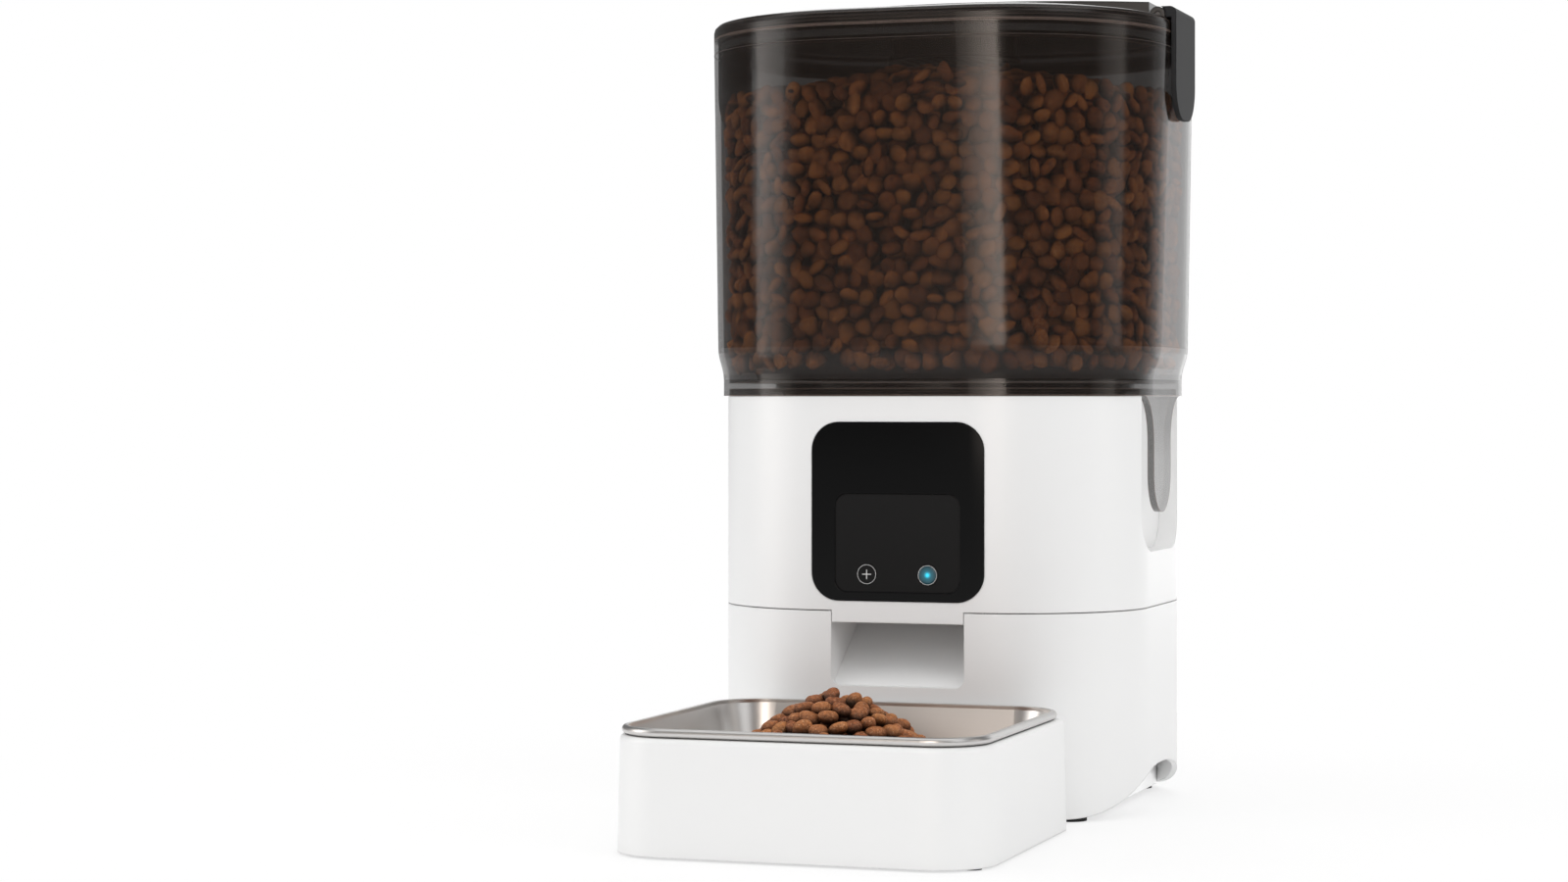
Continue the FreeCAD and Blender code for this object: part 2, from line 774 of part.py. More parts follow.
def make_gearbox_case():
    outer = prism(outline(-case_half, case_half, case_y0, case_y1, 5, 12, case_bottom), cover_z - case_bottom)
    inner = prism(outline(-case_half + case_wall, case_half - case_wall, case_y0 + case_wall,
                          case_y1 - case_wall, 3, 10, case_bottom + case_wall), 60)
    shell = outer.cut(inner)
    adds = [cylinder(6.5, 0, axis_y, case_bottom, case_bottom + 6)]
    adds.append(cylinder(3.5, 0, idler_y, case_bottom, idler_z0 - gap))
    for x, y in gearbox_screw_places():
        adds.append(cylinder(3.2, x, y, case_bottom, cover_z))
    shell = fuse([shell] + adds)
    shell = shell.cut(cylinder(journal_r + running, 0, axis_y, case_bottom - 1, cover_z))
    shell = shell.cut(cylinder(idler_pin_r, 0, idler_y, case_bottom + 1, cover_z))
    shell = shell.cut(cylinder(3.2, 0, motor_y, case_bottom - 1, cover_z))
    for x, y in gearbox_screw_places():
        shell = shell.cut(cylinder(screw_hole_r, x, y, case_bottom - 1, cover_z + 1))
    return shell


def make_gearbox_cover():
    cover = prism(outline(-case_half, case_half, case_y0, case_y1, 5, 12, cover_z), case_wall)
    cover = cover.cut(cylinder(shaft_r + running, 0, axis_y, cover_z - 1, cover_z + 5))
    cover = cover.cut(cylinder(idler_pin_r, 0, idler_y, cover_z - 1, cover_z + 1))
    for x, y in gearbox_screw_places():
        cover = cover.cut(cylinder(screw_hole_r, x, y, cover_z - 1, cover_z + 5))
    return cover


def make_gearbox_screws():
    screws = []
    for x, y in gearbox_screw_places():
        head = cylinder(screw_head_r, x, y, case_bottom - 2, case_bottom)
        shank = cylinder(screw_r, x, y, case_bottom, deck_bottom + 1.8)
        screws.append(fuse([head, shank]))
    return group(screws)


def make_drive_gear():
    wheel = gear(drive_teeth, math.pi / 2, 0, axis_y, drive_z0, drive_z1)
    hub = cylinder(8.5, 0, axis_y, drive_z0 - 3, drive_z0)
    return cut(fuse([wheel, hub]), cylinder(shaft_r, 0, axis_y, drive_z0 - 5, drive_z1 + 5))


def hexagon(flat, x, y, z0, z1):
    points = []
    for corner in range(7):
        angle = math.radians(60 * corner)
        points.append(V(x + flat / math.sqrt(3) * math.cos(angle), y + flat / math.sqrt(3) * math.sin(angle), z0))
    return Part.Face(Part.makePolygon(points)).extrude(V(0, 0, z1 - z0))


def make_drive_shaft():
    journal = cylinder(journal_r, 0, axis_y, case_bottom + 1, drive_z0 - 5)
    shaft = cylinder(shaft_r, 0, axis_y, drive_z0 - 5, deck_floor_top - 1)
    hexed = hexagon(hex_flat, 0, axis_y, deck_floor_top - 1, hex_top)
    return fuse([journal, shaft, hexed])


def make_idler_gear():
    large = gear(idler_large_teeth, math.pi / 2, 0, idler_y, idler_z0, idler_z1)
    small = gear(idler_small_teeth, -math.pi / 2 + math.pi / idler_small_teeth, 0, idler_y,
                 idler_z1, drive_z1 + 1)
    wheel = fuse([large, small])
    return wheel.cut(cylinder(idler_pin_r + running, 0, idler_y, idler_z0 - 1, drive_z1 + 2))


def make_idler_pin():
    return cylinder(idler_pin_r, 0, idler_y, case_bottom + 1, cover_z + 1)


def make_motor():
    can = cylinder(motor_r, 0, motor_y, case_bottom - motor_len, case_bottom)
    flat = box(-motor_r, -motor_r + 1.5, motor_y - 20, motor_y + 20, 0, case_bottom)
    can = cut(can, flat, mirror_x(flat))
    boss = cylinder(3.1, 0, motor_y, case_bottom, case_bottom + 1.5)
    bearing = cylinder(1.0 + running, 0, motor_y, case_bottom - 6, case_bottom + 3)
    tail = cylinder(4, 0, motor_y, case_bottom - motor_len - 2, case_bottom - motor_len)
    return cut(fuse([can, boss, tail]), bearing)


def make_motor_pinion():
    wheel = gear(motor_teeth, -math.pi / 2 + math.pi / motor_teeth, 0, motor_y, idler_z0 - 1, idler_z1 + 1)
    shaft = cylinder(1.0, 0, motor_y, case_bottom - 5, idler_z1 + 1)
    return fuse([wheel, shaft])


# ---- tank --------------------------------------------------------------------------------
def tank_sections(inset, low, high):
    """Outer form of the tank, drawn in by inset: straight neck, soft shoulder, slight flare."""
    wires = [about_axis(neck_w, neck_d, neck_r, inset, low)]
    wires.append(about_axis(neck_w, neck_d, neck_r, inset, neck_z))
    steps = 6
    for step in range(1, steps + 1):
        share = step / steps
        ease = 0.5 - 0.5 * math.cos(math.pi * share)
        z = neck_z + (shoulder_z - neck_z) * share
        w = neck_w + (shoulder_w - neck_w) * ease
        d = neck_d + (shoulder_d - neck_d) * ease
        wires.append(about_axis(w, d, neck_r + (shoulder_r - neck_r) * ease, inset, z))
    wires.append(about_axis(tank_w, tank_d, tank_r, inset, high))
    return loft(wires)


def cone_ring(profile):
    shape = Part.Face(polygon_xz(profile, 0)).revolve(V(0, 0, 0), V(0, 0, 1), 360)
    shape.translate(V(0, axis_y, 0))
    return shape


def tongue():
    """Grip tongue of one side: flares out of the neck, straight, round tip."""
    top = neck_z - 2
    bend = 20.0
    flare = tongue_half + bend
    tip_centre = tongue_tip_z + tongue_half
    x0 = half_w + 0.5 - tongue_thick
    quarter = math.sqrt(0.5)
    right = axis_y + tongue_half
    left = axis_y - tongue_half
    bend_z = tank_bottom - bend
    edges = []
    edges.append(Part.LineSegment(V(x0, axis_y - flare, top), V(x0, axis_y - flare, tank_bottom)).toShape())
    bend_mid = V(x0, left - bend * (1 - quarter), bend_z + bend * quarter)
    edges.append(Part.Arc(V(x0, axis_y - flare, tank_bottom), bend_mid, V(x0, left, bend_z)).toShape())
    edges.append(Part.LineSegment(V(x0, left, bend_z), V(x0, left, tip_centre)).toShape())
    tip = Part.Arc(V(x0, left, tip_centre), V(x0, axis_y, tongue_tip_z), V(x0, right, tip_centre))
    edges.append(tip.toShape())
    edges.append(Part.LineSegment(V(x0, right, tip_centre), V(x0, right, bend_z)).toShape())
    bend_mid = V(x0, right + bend * (1 - quarter), bend_z + bend * quarter)
    edges.append(Part.Arc(V(x0, right, bend_z), bend_mid, V(x0, axis_y + flare, tank_bottom)).toShape())
    edges.append(Part.LineSegment(V(x0, axis_y + flare, tank_bottom), V(x0, axis_y + flare, top)).toShape())
    edges.append(Part.LineSegment(V(x0, axis_y + flare, top), V(x0, axis_y - flare, top)).toShape())
    blade = Part.Face(Part.Wire(edges)).extrude(V(tongue_thick, 0, 0))
    low = blade.common(box(x0 - 1, x0 + 10, -far, far, 0, tank_bottom))
    high = blade.common(neck_block())
    return fuse([low, high])


def neck_block():
    return prism(about_axis(neck_w, neck_d, neck_r, 0, tank_bottom - 0.5), neck_z - tank_bottom + 0.5)


def make_tank():
    """Tank wall with its grip tongues and a flat floor round the opening for the funnel."""
    outer = tank_sections(0, tank_bottom, tank_top)
    inner = tank_sections(tank_wall, floor_low - 10, tank_top + 5)
    inner = inner.common(box(-body_w, body_w, -body_d, 2 * body_d, tank_floor, tank_top + 10))
    under = prism(about_axis(neck_w, neck_d, neck_r, tank_wall, tank_bottom - 1), floor_low - tank_bottom + 1)
    shell = cut(outer, inner, under)
    shell = fuse([shell] + both_sides(tongue()))
    return shell.cut(cylinder(funnel_r + tank_wall + gap / 3, 0, axis_y, floor_low - 5, tank_floor + 1))


def make_tank_funnel():
    """Funnel and portion chamber, held by a flange under the tank floor."""
    out_r = chamber_r + tank_wall
    funnel_out = funnel_r + tank_wall
    solid = cone_ring([(0, chamber_bottom), (out_r, chamber_bottom), (out_r, chamber_top),
                       (funnel_out, tank_floor), (0, tank_floor)])
    flange = cylinder(funnel_out + 3.0, 0, axis_y, floor_low - 1.5, floor_low)
    hollow = cone_ring([(0, chamber_bottom - 1), (chamber_r, chamber_bottom - 1), (chamber_r, chamber_top),
                        (funnel_r, tank_floor), (funnel_r, tank_floor + 1), (0, tank_floor + 1)])
    return fuse([solid, flange]).cut(hollow)


def make_rotor_floor():
    disc = cylinder(chamber_r - 0.1, 0, axis_y, chamber_bottom, chamber_bottom + 2.6)
    outlet = box(-outlet_half_x, outlet_half_x, outlet_y - outlet_half_y, outlet_y + outlet_half_y,
                 chamber_bottom - 1, chamber_bottom + 5)
    return cut(disc, outlet, cylinder(hex_corner + 3, 0, axis_y, chamber_bottom - 1, chamber_bottom + 5))


def make_rotor():
    hub = cylinder(14, 0, axis_y, rotor_low, rotor_top)
    pieces = [hub]
    for index in range(paddle_count):
        paddle = box(12, rotor_r, -1.2, 1.2, rotor_low, rotor_top)
        paddle.rotate(V(0, 0, 0), V(0, 0, 1), 30 + 360 / paddle_count * index)
        paddle.translate(V(0, axis_y, 0))
        pieces.append(paddle)
    rotor = fuse(pieces)
    rotor = rotor.cut(hexagon(hex_flat + 2 * gap, 0, axis_y, rotor_low - 1, hex_top + 1))
    return rotor.cut(cylinder(4, 0, axis_y, hex_top, rotor_top + 1))


def make_stirrer():
    spigot = cylinder(4, 0, axis_y, hex_top + 3, rotor_top)
    hub = cylinder(9, 0, axis_y, rotor_top, chamber_top + 6)
    cap = Part.makeCone(9, 3, 8, V(0, axis_y, chamber_top + 6))
    pieces = [spigot, hub, cap]
    reach = 33.0
    pieces.append(box(-reach, reach, axis_y - 2.5, axis_y + 2.5, chamber_top + 1, chamber_top + 6))
    for side in (-1, 1):
        post = cylinder(3, side * reach, axis_y, chamber_top + 1, chamber_top + 34)
        tip = Part.makeSphere(3, V(side * reach, axis_y, chamber_top + 34))
        pieces += [post, tip]
    return fuse(pieces)


def make_outlet_shield():
    ring = cylinder(chamber_r, 0, axis_y, shield_z, shield_z + 2)
    ring = ring.cut(cylinder(16, 0, axis_y, shield_z - 1, shield_z + 3))
    reach = 2 * chamber_r
    wedge_points = [V(0, axis_y, shield_z - 1)]
    for angle in (-132, -90, -48):
        turn = math.radians(angle)
        wedge_points.append(V(reach * math.cos(turn), axis_y + reach * math.sin(turn), shield_z - 1))
    wedge_points.append(wedge_points[0])
    wedge = Part.Face(Part.makePolygon(wedge_points)).extrude(V(0, 0, 5))
    return ring.common(wedge)


# ---- lid ---------------------------------------------------------------------------------


def lid_height(inset):
    """Height of the lid's outer skin at a distance inset from its edge."""
    edge = lid_crown_z - lid_edge_z
    if inset < edge:
        return lid_edge_z + math.sqrt(edge ** 2 - (edge - inset) ** 2)
    share = (inset - edge) / (lid_flat - edge)
    return lid_crown_z + lid_rise * (1 - (1 - share) ** 2)


def dome(inset, drop, low):
    edge = lid_crown_z - lid_edge_z
    insets = [edge * (1 - math.cos(math.radians(angle))) for angle in (0, 30, 60, 90)]
    insets += [edge + (lid_flat - edge) * share for share in (0.12, 0.3, 0.5, 0.75, 1.0)]
    wires = [about_axis(tank_w, tank_d, tank_r, inset, low)]
    for value in insets:
        wires.append(about_axis(tank_w, tank_d, tank_r, inset + value, lid_height(value) - drop))
    return loft(wires)


def clip_pocket(x_out):
    half = clip_w / 2 + gap
    return box(band_end, x_out, axis_y - half, axis_y + half, pocket_z, band_top + 5)


def make_lid():
    skin = cut(dome(0, 0, lid_z), dome(lid_wall, lid_wall, lid_z - 1))
    lip = prism(about_axis(tank_w, tank_d, tank_r, lip_inset, lip_low), lid_edge_z + 1 - lip_low)
    lip = lip.cut(prism(about_axis(tank_w, tank_d, tank_r, lip_inset + lip_wall, lip_low - 1), 30))
    ledge = prism(about_axis(tank_w, tank_d, tank_r, 1, lid_z), 2)
    ledge = ledge.cut(prism(about_axis(tank_w, tank_d, tank_r, lip_inset + 1, lid_z - 1), 5))
    half = clip_w / 2 + 3
    pad = box(band_end - 3, tank_w / 2 - 1, axis_y - half, axis_y + half, lid_z, lid_crown_z)
    pads = [pad.common(dome(0, 0, lid_z)), mirror_x(pad).common(dome(0, 0, lid_z))]
    lid = fuse([skin, lip, ledge] + pads)
    pocket = clip_pocket(tank_w)
    return cut(lid, pocket, mirror_x(pocket))


def make_lid_seal():
    ring = prism(about_axis(tank_w, tank_d, tank_r, tank_wall + gap + 0.2, seal_low), seal_high - seal_low)
    return ring.cut(prism(about_axis(tank_w, tank_d, tank_r, lip_inset, seal_low - 1), 20))


def make_lid_band():
    """Raised band across the lid that carries both clip hinges in its cheeks."""
    drop = band_end ** 2 / (2 * band_bow)
    y0 = axis_y - clip_w / 2
    low = lid_z + 2
    arch = Part.Arc(V(-band_end, y0, band_top - drop), V(0, y0, band_top), V(band_end, y0, band_top - drop))
    edges = [arch.toShape()]
    edges.append(Part.LineSegment(V(band_end, y0, band_top - drop), V(band_end, y0, low)).toShape())
    edges.append(Part.LineSegment(V(band_end, y0, low), V(-band_end, y0, low)).toShape())
    edges.append(Part.LineSegment(V(-band_end, y0, low), V(-band_end, y0, band_top - drop)).toShape())
    band = Part.Face(Part.Wire(edges)).extrude(V(0, clip_w, 0))
    band = band.cut(dome(0, 0, lid_z))
    cheeks = []
    for y in (y0, y0 + clip_w - cheek_w):
        lug = fuse([rod_y(barrel_r, pin_x, pin_z, y, y + cheek_w),
                    box(band_end - 2, pin_x, y, y + cheek_w, pin_z - barrel_r, pin_z)])
        lug = cut(lug, rod_y(clip_pin_r, pin_x, pin_z, y - 1, y + cheek_w + 1))
        cheeks += both_sides(lug)
    solid = fuse([band] + cheeks)
    return cut(solid, dome(0, 0, lid_z).cut(clip_pocket(tank_w)).cut(mirror_x(clip_pocket(tank_w))))


def make_clip_pins():
    y0 = axis_y - clip_w / 2
    pin = rod_y(clip_pin_r, pin_x, pin_z, y0 + 0.5, y0 + clip_w - 0.5)
    return group(both_sides(pin))


def make_lid_clip():
    """Right lid clip: barrel on the pin, arm over the lid edge, long plate down the tank."""
    x_in = tank_w / 2 + gap + 0.1
    x_out = x_in + clip_thick
    y0 = axis_y - clip_w / 2
    tip_r = 16.0
    top = pin_z + barrel_r
    plate = outline(0, clip_w, clip_tip_z, top, tip_r, 0.5, 0)
    blade = Part.Face(plate).extrude(V(0, 0, clip_thick))
    blade.rotate(V(0, 0, 0), V(0, 0, 1), 90)
    blade.rotate(V(0, 0, 0), V(0, 1, 0), 90)
    blade.translate(V(x_in, y0, 0))
    arm = box(pin_x, x_in + 1, y0, y0 + clip_w, pin_z - 1.4, top)
    barrel = rod_y(barrel_r, pin_x, pin_z, y0 + cheek_w + gap, y0 + clip_w - cheek_w - gap)
    clip = fuse([blade, arm])
    edge = box(x_out - 3, x_out + 1, y0 - 1, y0 + clip_w + 1, top - 3, top + 1)
    edge = edge.cut(rod_y(3, x_out - 3, top - 3, y0 - 1, y0 + clip_w + 1))
    clip = clip.cut(edge)
    for y in (y0 - 1, y0 + clip_w - cheek_w - gap):
        clip = clip.cut(rod_y(barrel_r + gap, pin_x, pin_z, y, y + cheek_w + gap + 1))
    clip = fuse([clip, barrel])
    return clip.cut(rod_y(clip_pin_r + running, pin_x, pin_z, y0 - 1, y0 + clip_w + 1))


def make_desiccant_tray():
    top = lid_crown_z + 2.0
    cup = cylinder(desiccant_r, 0, axis_y, desiccant_low + 1.6, top + 10)
    cup = cup.common(dome(lid_wall, lid_wall, lid_z - 30))
    return cup.cut(cylinder(desiccant_r - 1.8, 0, axis_y, desiccant_low, top - 2))


def make_desiccant_grille():
    disc = cylinder(desiccant_r + 2, 0, axis_y, desiccant_low, desiccant_low + 1.6)
    for row in range(-4, 5):
        x = row * 5.6
        reach = math.sqrt((desiccant_r - 4) ** 2 - x ** 2)
        disc = disc.cut(box(x - 1.2, x + 1.2, axis_y - reach, axis_y + reach, desiccant_low - 1, desiccant_low + 5))
    return disc


# ---- tray and bowl -----------------------------------------------------------------------


def tray_outline(inset, z):
    x = tray_w / 2 - inset
    return outline(-x, x, tray_front + inset, tray_back - inset, tray_r_front - inset, tray_r_back - inset, z)


def make_bowl_tray():
    soft = [tray_draft + tray_top_r * (1 - math.cos(math.radians(angle))) for angle in (0, 30, 60, 90)]
    rise = [tray_top - tray_top_r + tray_top_r * math.sin(math.radians(angle)) for angle in (0, 30, 60, 90)]
    wires = [tray_outline(0, pad_h)] + [tray_outline(inset, z) for inset, z in zip(soft, rise)]
    outer = loft(wires)
    inner = loft([tray_outline(wall, pad_h - 1), tray_outline(wall + tray_draft, tray_top - wall)])
    hole = prism(bowl_outline(-gap, tray_top - 10), 20)
    tray = cut(outer, inner, hole)
    ribs = []
    for side in (-1, 1):
        x = side * prong_x
        prong = box(x - prong_w / 2, x + prong_w / 2, tray_back - 1, inner_front + prong_in - wall,
                    prong_z - prong_h / 2, prong_z + prong_h / 2)
        ribs.append(prong)
    for side_x in (-1, 1):
        for y in (tray_front + 16, tray_back - 16):
            x = side_x * (tray_w / 2 - 1.5)
            x_in = side_x * (tray_w / 2 - 14)
            ribs.append(box(min(x, x_in), max(x, x_in), y - 5, y + 5, pad_h, pad_h + 2))
    clip_zone = loft([tray_outline(0, pad_h), tray_outline(tray_draft, tray_top - tray_top_r)])
    return fuse([tray, ribs[0], ribs[1]] + [rib.common(clip_zone) for rib in ribs[2:]])


def make_tray_pads():
    pads = []
    for side_x in (-1, 1):
        for y in (tray_front + 16, tray_back - 16):
            pads.append(cylinder(4.0, side_x * (tray_w / 2 - 8), y, 0, pad_h))
    return group(pads)


def bowl_outline(inset, z):
    x = bowl_half - inset
    r = bowl_r - inset
    return outline(-x, x, bowl_y0 + inset, bowl_y1 - inset, r, r, z)


def bowl_wires(extra):
    """Basin sections from the floor up, with a soft turn between floor and wall."""
    floor_z = rim_z - bowl_depth + extra
    wires = [bowl_outline(bowl_taper + 5 + extra, floor_z)]
    wires.append(bowl_outline(bowl_taper + 2 + extra, floor_z + 1))
    wires.append(bowl_outline(bowl_taper + 0.4 + extra, floor_z + 4))
    wires.append(bowl_outline(extra, rim_z))
    return wires


def make_bowl():
    outer = loft(bowl_wires(0))
    inner = loft(bowl_wires(bowl_sheet))
    path = bowl_outline(0, rim_z)
    circle = Part.Wire(Part.Circle(V(0, bowl_y0, rim_z), V(1, 0, 0), rim_r).toShape())
    rim = path.makePipeShell([circle], True, True)
    over = prism(bowl_outline(bowl_sheet, rim_z - 0.01), 10)
    return cut(fuse([outer, rim]), inner, over)


# ---- files -------------------------------------------------------------------------------
def make_all():
    right_clip = make_lid_clip()
    shapes = {
        "lower_housing": make_lower_housing(),
        "upper_housing": make_upper_housing(),
        "base_plate": make_base_plate(),
        "rubber_feet": make_rubber_feet(),
        "body_screws": make_body_screws(),
        "front_panel": make_front_panel(),
        "key_plate": make_key_plate(),
        "control_board": make_control_board(),
        "tact_switches": make_tact_switches(),
        "food_chute": make_food_chute(),
        "outlet_sensors": make_outlet_sensors(),
        "inner_deck": make_inner_deck(),
        "gearbox_case": make_gearbox_case(),
        "gearbox_cover": make_gearbox_cover(),
        "gearbox_screws": make_gearbox_screws(),
        "idler_pin": make_idler_pin(),
        "motor": make_motor(),
        "drive_gear": make_drive_gear(),
        "drive_shaft": make_drive_shaft(),
        "idler_gear": make_idler_gear(),
        "motor_pinion": make_motor_pinion(),
        "battery_box": make_battery_box(),
        "battery_cells": make_battery_cells(),
        "battery_contacts": make_battery_contacts(),
        "battery_door": make_battery_door(),
        "main_board": make_main_board(),
        "power_socket": make_power_socket(),
        "speaker": make_speaker(),
        "tank": make_tank(),
        "tank_funnel": make_tank_funnel(),
        "rotor_floor": make_rotor_floor(),
        "outlet_shield": make_outlet_shield(),
        "rotor": make_rotor(),
        "stirrer": make_stirrer(),
        "lid": make_lid(),
        "lid_seal": make_lid_seal(),
        "lid_band": make_lid_band(),
        "clip_pins": make_clip_pins(),
        "lid_clip_right": right_clip,
        "lid_clip_left": mirror_x(right_clip),
        "desiccant_tray": make_desiccant_tray(),
        "desiccant_grille": make_desiccant_grille(),
        "bowl_tray": make_bowl_tray(),
        "tray_pads": make_tray_pads(),
        "bowl": make_bowl(),
    }
    for name, x in key_places():
        shapes[name] = make_key(x)
    return shapes


os.makedirs("parts", exist_ok=True)
for node, shape in make_all().items():
    shape.exportStep("parts/" + node + ".step")
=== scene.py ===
"""Looks of an automatic pet feeder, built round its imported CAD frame.

Metres. X runs to the right, Y to the back, Z up, with the ground at Z = 0.
"""
import math
import random

import bmesh
import bpy
import numpy as np
from mathutils import Matrix, Vector


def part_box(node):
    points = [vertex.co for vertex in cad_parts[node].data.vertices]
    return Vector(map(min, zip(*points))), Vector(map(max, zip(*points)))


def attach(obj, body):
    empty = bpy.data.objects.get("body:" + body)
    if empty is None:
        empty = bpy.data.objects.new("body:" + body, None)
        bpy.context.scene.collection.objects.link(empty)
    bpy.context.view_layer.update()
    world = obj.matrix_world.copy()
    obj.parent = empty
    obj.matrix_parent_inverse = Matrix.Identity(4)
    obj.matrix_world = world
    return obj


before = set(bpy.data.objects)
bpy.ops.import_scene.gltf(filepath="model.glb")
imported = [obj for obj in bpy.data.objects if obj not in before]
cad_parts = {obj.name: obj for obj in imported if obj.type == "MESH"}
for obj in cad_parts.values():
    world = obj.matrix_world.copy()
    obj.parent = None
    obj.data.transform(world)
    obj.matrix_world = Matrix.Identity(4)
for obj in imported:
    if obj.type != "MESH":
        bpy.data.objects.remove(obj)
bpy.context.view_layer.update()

bl_info = {
    "name": "Pet feeder looks",
    "version": (1, 0, 0),
    "blender": (4, 5, 0),
    "location": "View3D > Sidebar > Feeder",
    "description": "Finishes, food and studio for an automatic pet feeder",
    "category": "Object",
}

MM = 0.001


# ---- places read from the frame ----------------------------------------------------------
TANK_LOW, TANK_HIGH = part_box("tank")
BOWL_LOW, BOWL_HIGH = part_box("bowl")
HOUSING_LOW, HOUSING_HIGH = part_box("upper_housing")
FUNNEL_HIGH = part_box("tank_funnel")[1]
AXIS_Y = (HOUSING_LOW.y + HOUSING_HIGH.y) / 2

# ---- form of the tank and bowl that their boxes don't give -------------------------------
TANK_WALL = 2.5 * MM
SHOULDER_Z = FUNNEL_HIGH.z + 15.5 * MM  # the leaning wall ends here and the neck begins
LEAN_X, LEAN_Y = 3.05 * MM, 3.1 * MM    # drawn in from the top to the shoulder
NECK_X, NECK_Y = 3.25 * MM, 1.5 * MM    # drawn in again from the shoulder to the neck
NECK_TALL = 14 * MM
NECK_CORNER_MM, SHOULDER_GAIN_MM, TOP_GAIN_MM = 65, 3.7, 7.3
BOWL_CORNER = 22.7 * MM  # rounding of the rim's outside
BOWL_NARROW = 11.8 * MM  # from the rim's outside to the inside of the wall, near the floor

# ---- form of the food --------------------------------------------------------------------
FOOD_WAVES = ((1.6, 41, 0, 1.2), (1.2, 0, 63, 0.6), (0.9, 120, 70, 0.0))  # mm, per x, per y, shift
MOUND_TALL_MM = 12.5
MOUND_REACH = 0.088
CORE_INSET = 15 * MM     # painted shade inside the food, in from the tank's outer form
CORE_FLOOR = 58.5 * MM   # above the tank's lowest point
HEAP_SOFT = 12 * MM      # how round the heap's top is
HEAP_CORE_DEEP = 7 * MM  # painted shade inside the heap, under its side

# ---- tints of the lamps ------------------------------------------------------------------
PLAIN = (1.0, 1.0, 1.0)
WARM = (1.0, 0.93, 0.87)
WARMER = (1.0, 0.87, 0.77)


# ---- settings ----------------------------------------------------------------------------
def colour(name, text, value):
    return bpy.props.FloatVectorProperty(name=name, description=text, default=value, size=3,
                                         subtype="COLOR", min=0.0, max=1.0)


def length(name, text, value):
    return bpy.props.FloatProperty(name=name, description=text, default=value, unit="LENGTH",
                                   precision=5)


def power(name, text, value):
    return bpy.props.FloatProperty(name=name, description=text, default=value, unit="POWER")


def share(name, text, value):
    return bpy.props.FloatProperty(name=name, description=text, default=value, subtype="FACTOR",
                                   min=0.0, max=1.0)


class FeederFinishes(bpy.types.PropertyGroup):
    """Colours and gloss of the mouldings and metal."""
    white: colour("White", "Housing, tray and chute moulding", (0.90, 0.90, 0.897))
    white_rough: share("White roughness", "Roughness of the white mouldings", 0.34)
    grey: colour("Grey", "Battery and gearbox mouldings", (0.74, 0.74, 0.74))
    smoke: colour("Smoke", "Tint of the tank", (0.010, 0.006, 0.004))
    smoke_face: share("Smoke, face on", "How much the tank hides, seen square on", 0.62)
    smoke_edge: share("Smoke, edge on", "How much the tank hides, seen along its wall", 0.60)
    clip_grey: colour("Clip grey", "Outer face of the lid clips", (0.031, 0.031, 0.032))
    steel: colour("Bowl steel", "Stainless steel of the bowl", (0.62, 0.61, 0.60))


class FeederKeys(bpy.types.PropertyGroup):
    """Marks on the two keys."""
    ring_r: length("Ring radius", "Outer radius of the white rings", 4.15 * MM)
    ring_w: length("Ring width", "Width of the white rings", 0.20 * MM)
    mark_h: length("Mark height", "Thickness of the printed marks", 0.06 * MM)
    plus_r: length("Plus size", "Half the length of the plus strokes", 2.0 * MM)
    plus_w: length("Plus stroke", "Width of the plus strokes", 0.42 * MM)
    glow_r: length("Light radius", "Radius of the lit centre of the setup key", 1.5 * MM)


class FeederFood(bpy.types.PropertyGroup):
    """Dry food in the tank and in the bowl."""
    size: length("Piece size", "Mean radius of one piece", 4.6 * MM)
    level: length("Tank level", "Height of the food in the tank", 0.3145)
    floor: length("Tank floor", "Lowest food that shows in the tank", 0.1960)
    heap_r: length("Heap radius", "Radius of the heap in the bowl", 0.062)
    heap_top: length("Heap top", "Height of the heap in the bowl", 0.0612)
    brown: colour("Brown", "Colour of the food", (0.35, 0.125, 0.044))
    # A lighter, redder copy of the food's brown for the food in the tank: painted light that makes
    # up for what the smoked wall holds back.
    tank_brown_painted_light: colour("Tank brown", "Colour of the food behind the smoked wall",
                       (0.52, 0.160, 0.040))
    seed: bpy.props.IntProperty(name="Seed", description="Seed of the arrangement", default=11)


class FeederStage(bpy.types.PropertyGroup):
    """Camera, floor and lamps."""
    camera_x: length("Camera X", "Camera to the right of the middle", 0.40769)
    camera_y: length("Camera Y", "Camera in front of the middle", -1.36263)
    camera_z: length("Camera Z", "Camera above the ground", 0.17788)
    turn: bpy.props.FloatProperty(name="Turn", description="Camera turn about the vertical",
                                  default=math.radians(18.84), subtype="ANGLE")
    lens: bpy.props.FloatProperty(name="Lens", description="Focal length in millimetres",
                                  default=75.71)
    shift: bpy.props.FloatProperty(name="Shift", description="Vertical lens shift",
                                   default=-0.0245)
    key_power: power("Key", "Main lamp, at the left", 5.0)
    fill_power: power("Fill", "Lamp at the front right, and the one behind", 4.6)
    top_power: power("Top", "Wide lamp overhead", 14.0)
    low_power: power("Low", "Low lamp at the right, which lights only the base plate", 14.0)
    strip_power: power("Strips", "Upright lamps that show only where they are mirrored", 4.6)
    mirrored: share("Mirrored", "Brightness of the surroundings where they are mirrored", 0.17)
    ambient: share("Ambient", "Light from the white surroundings", 0.68)


SETTINGS = {
    "feeder_finishes": FeederFinishes,
    "feeder_keys": FeederKeys,
    "feeder_food": FeederFood,
    "feeder_stage": FeederStage,
}


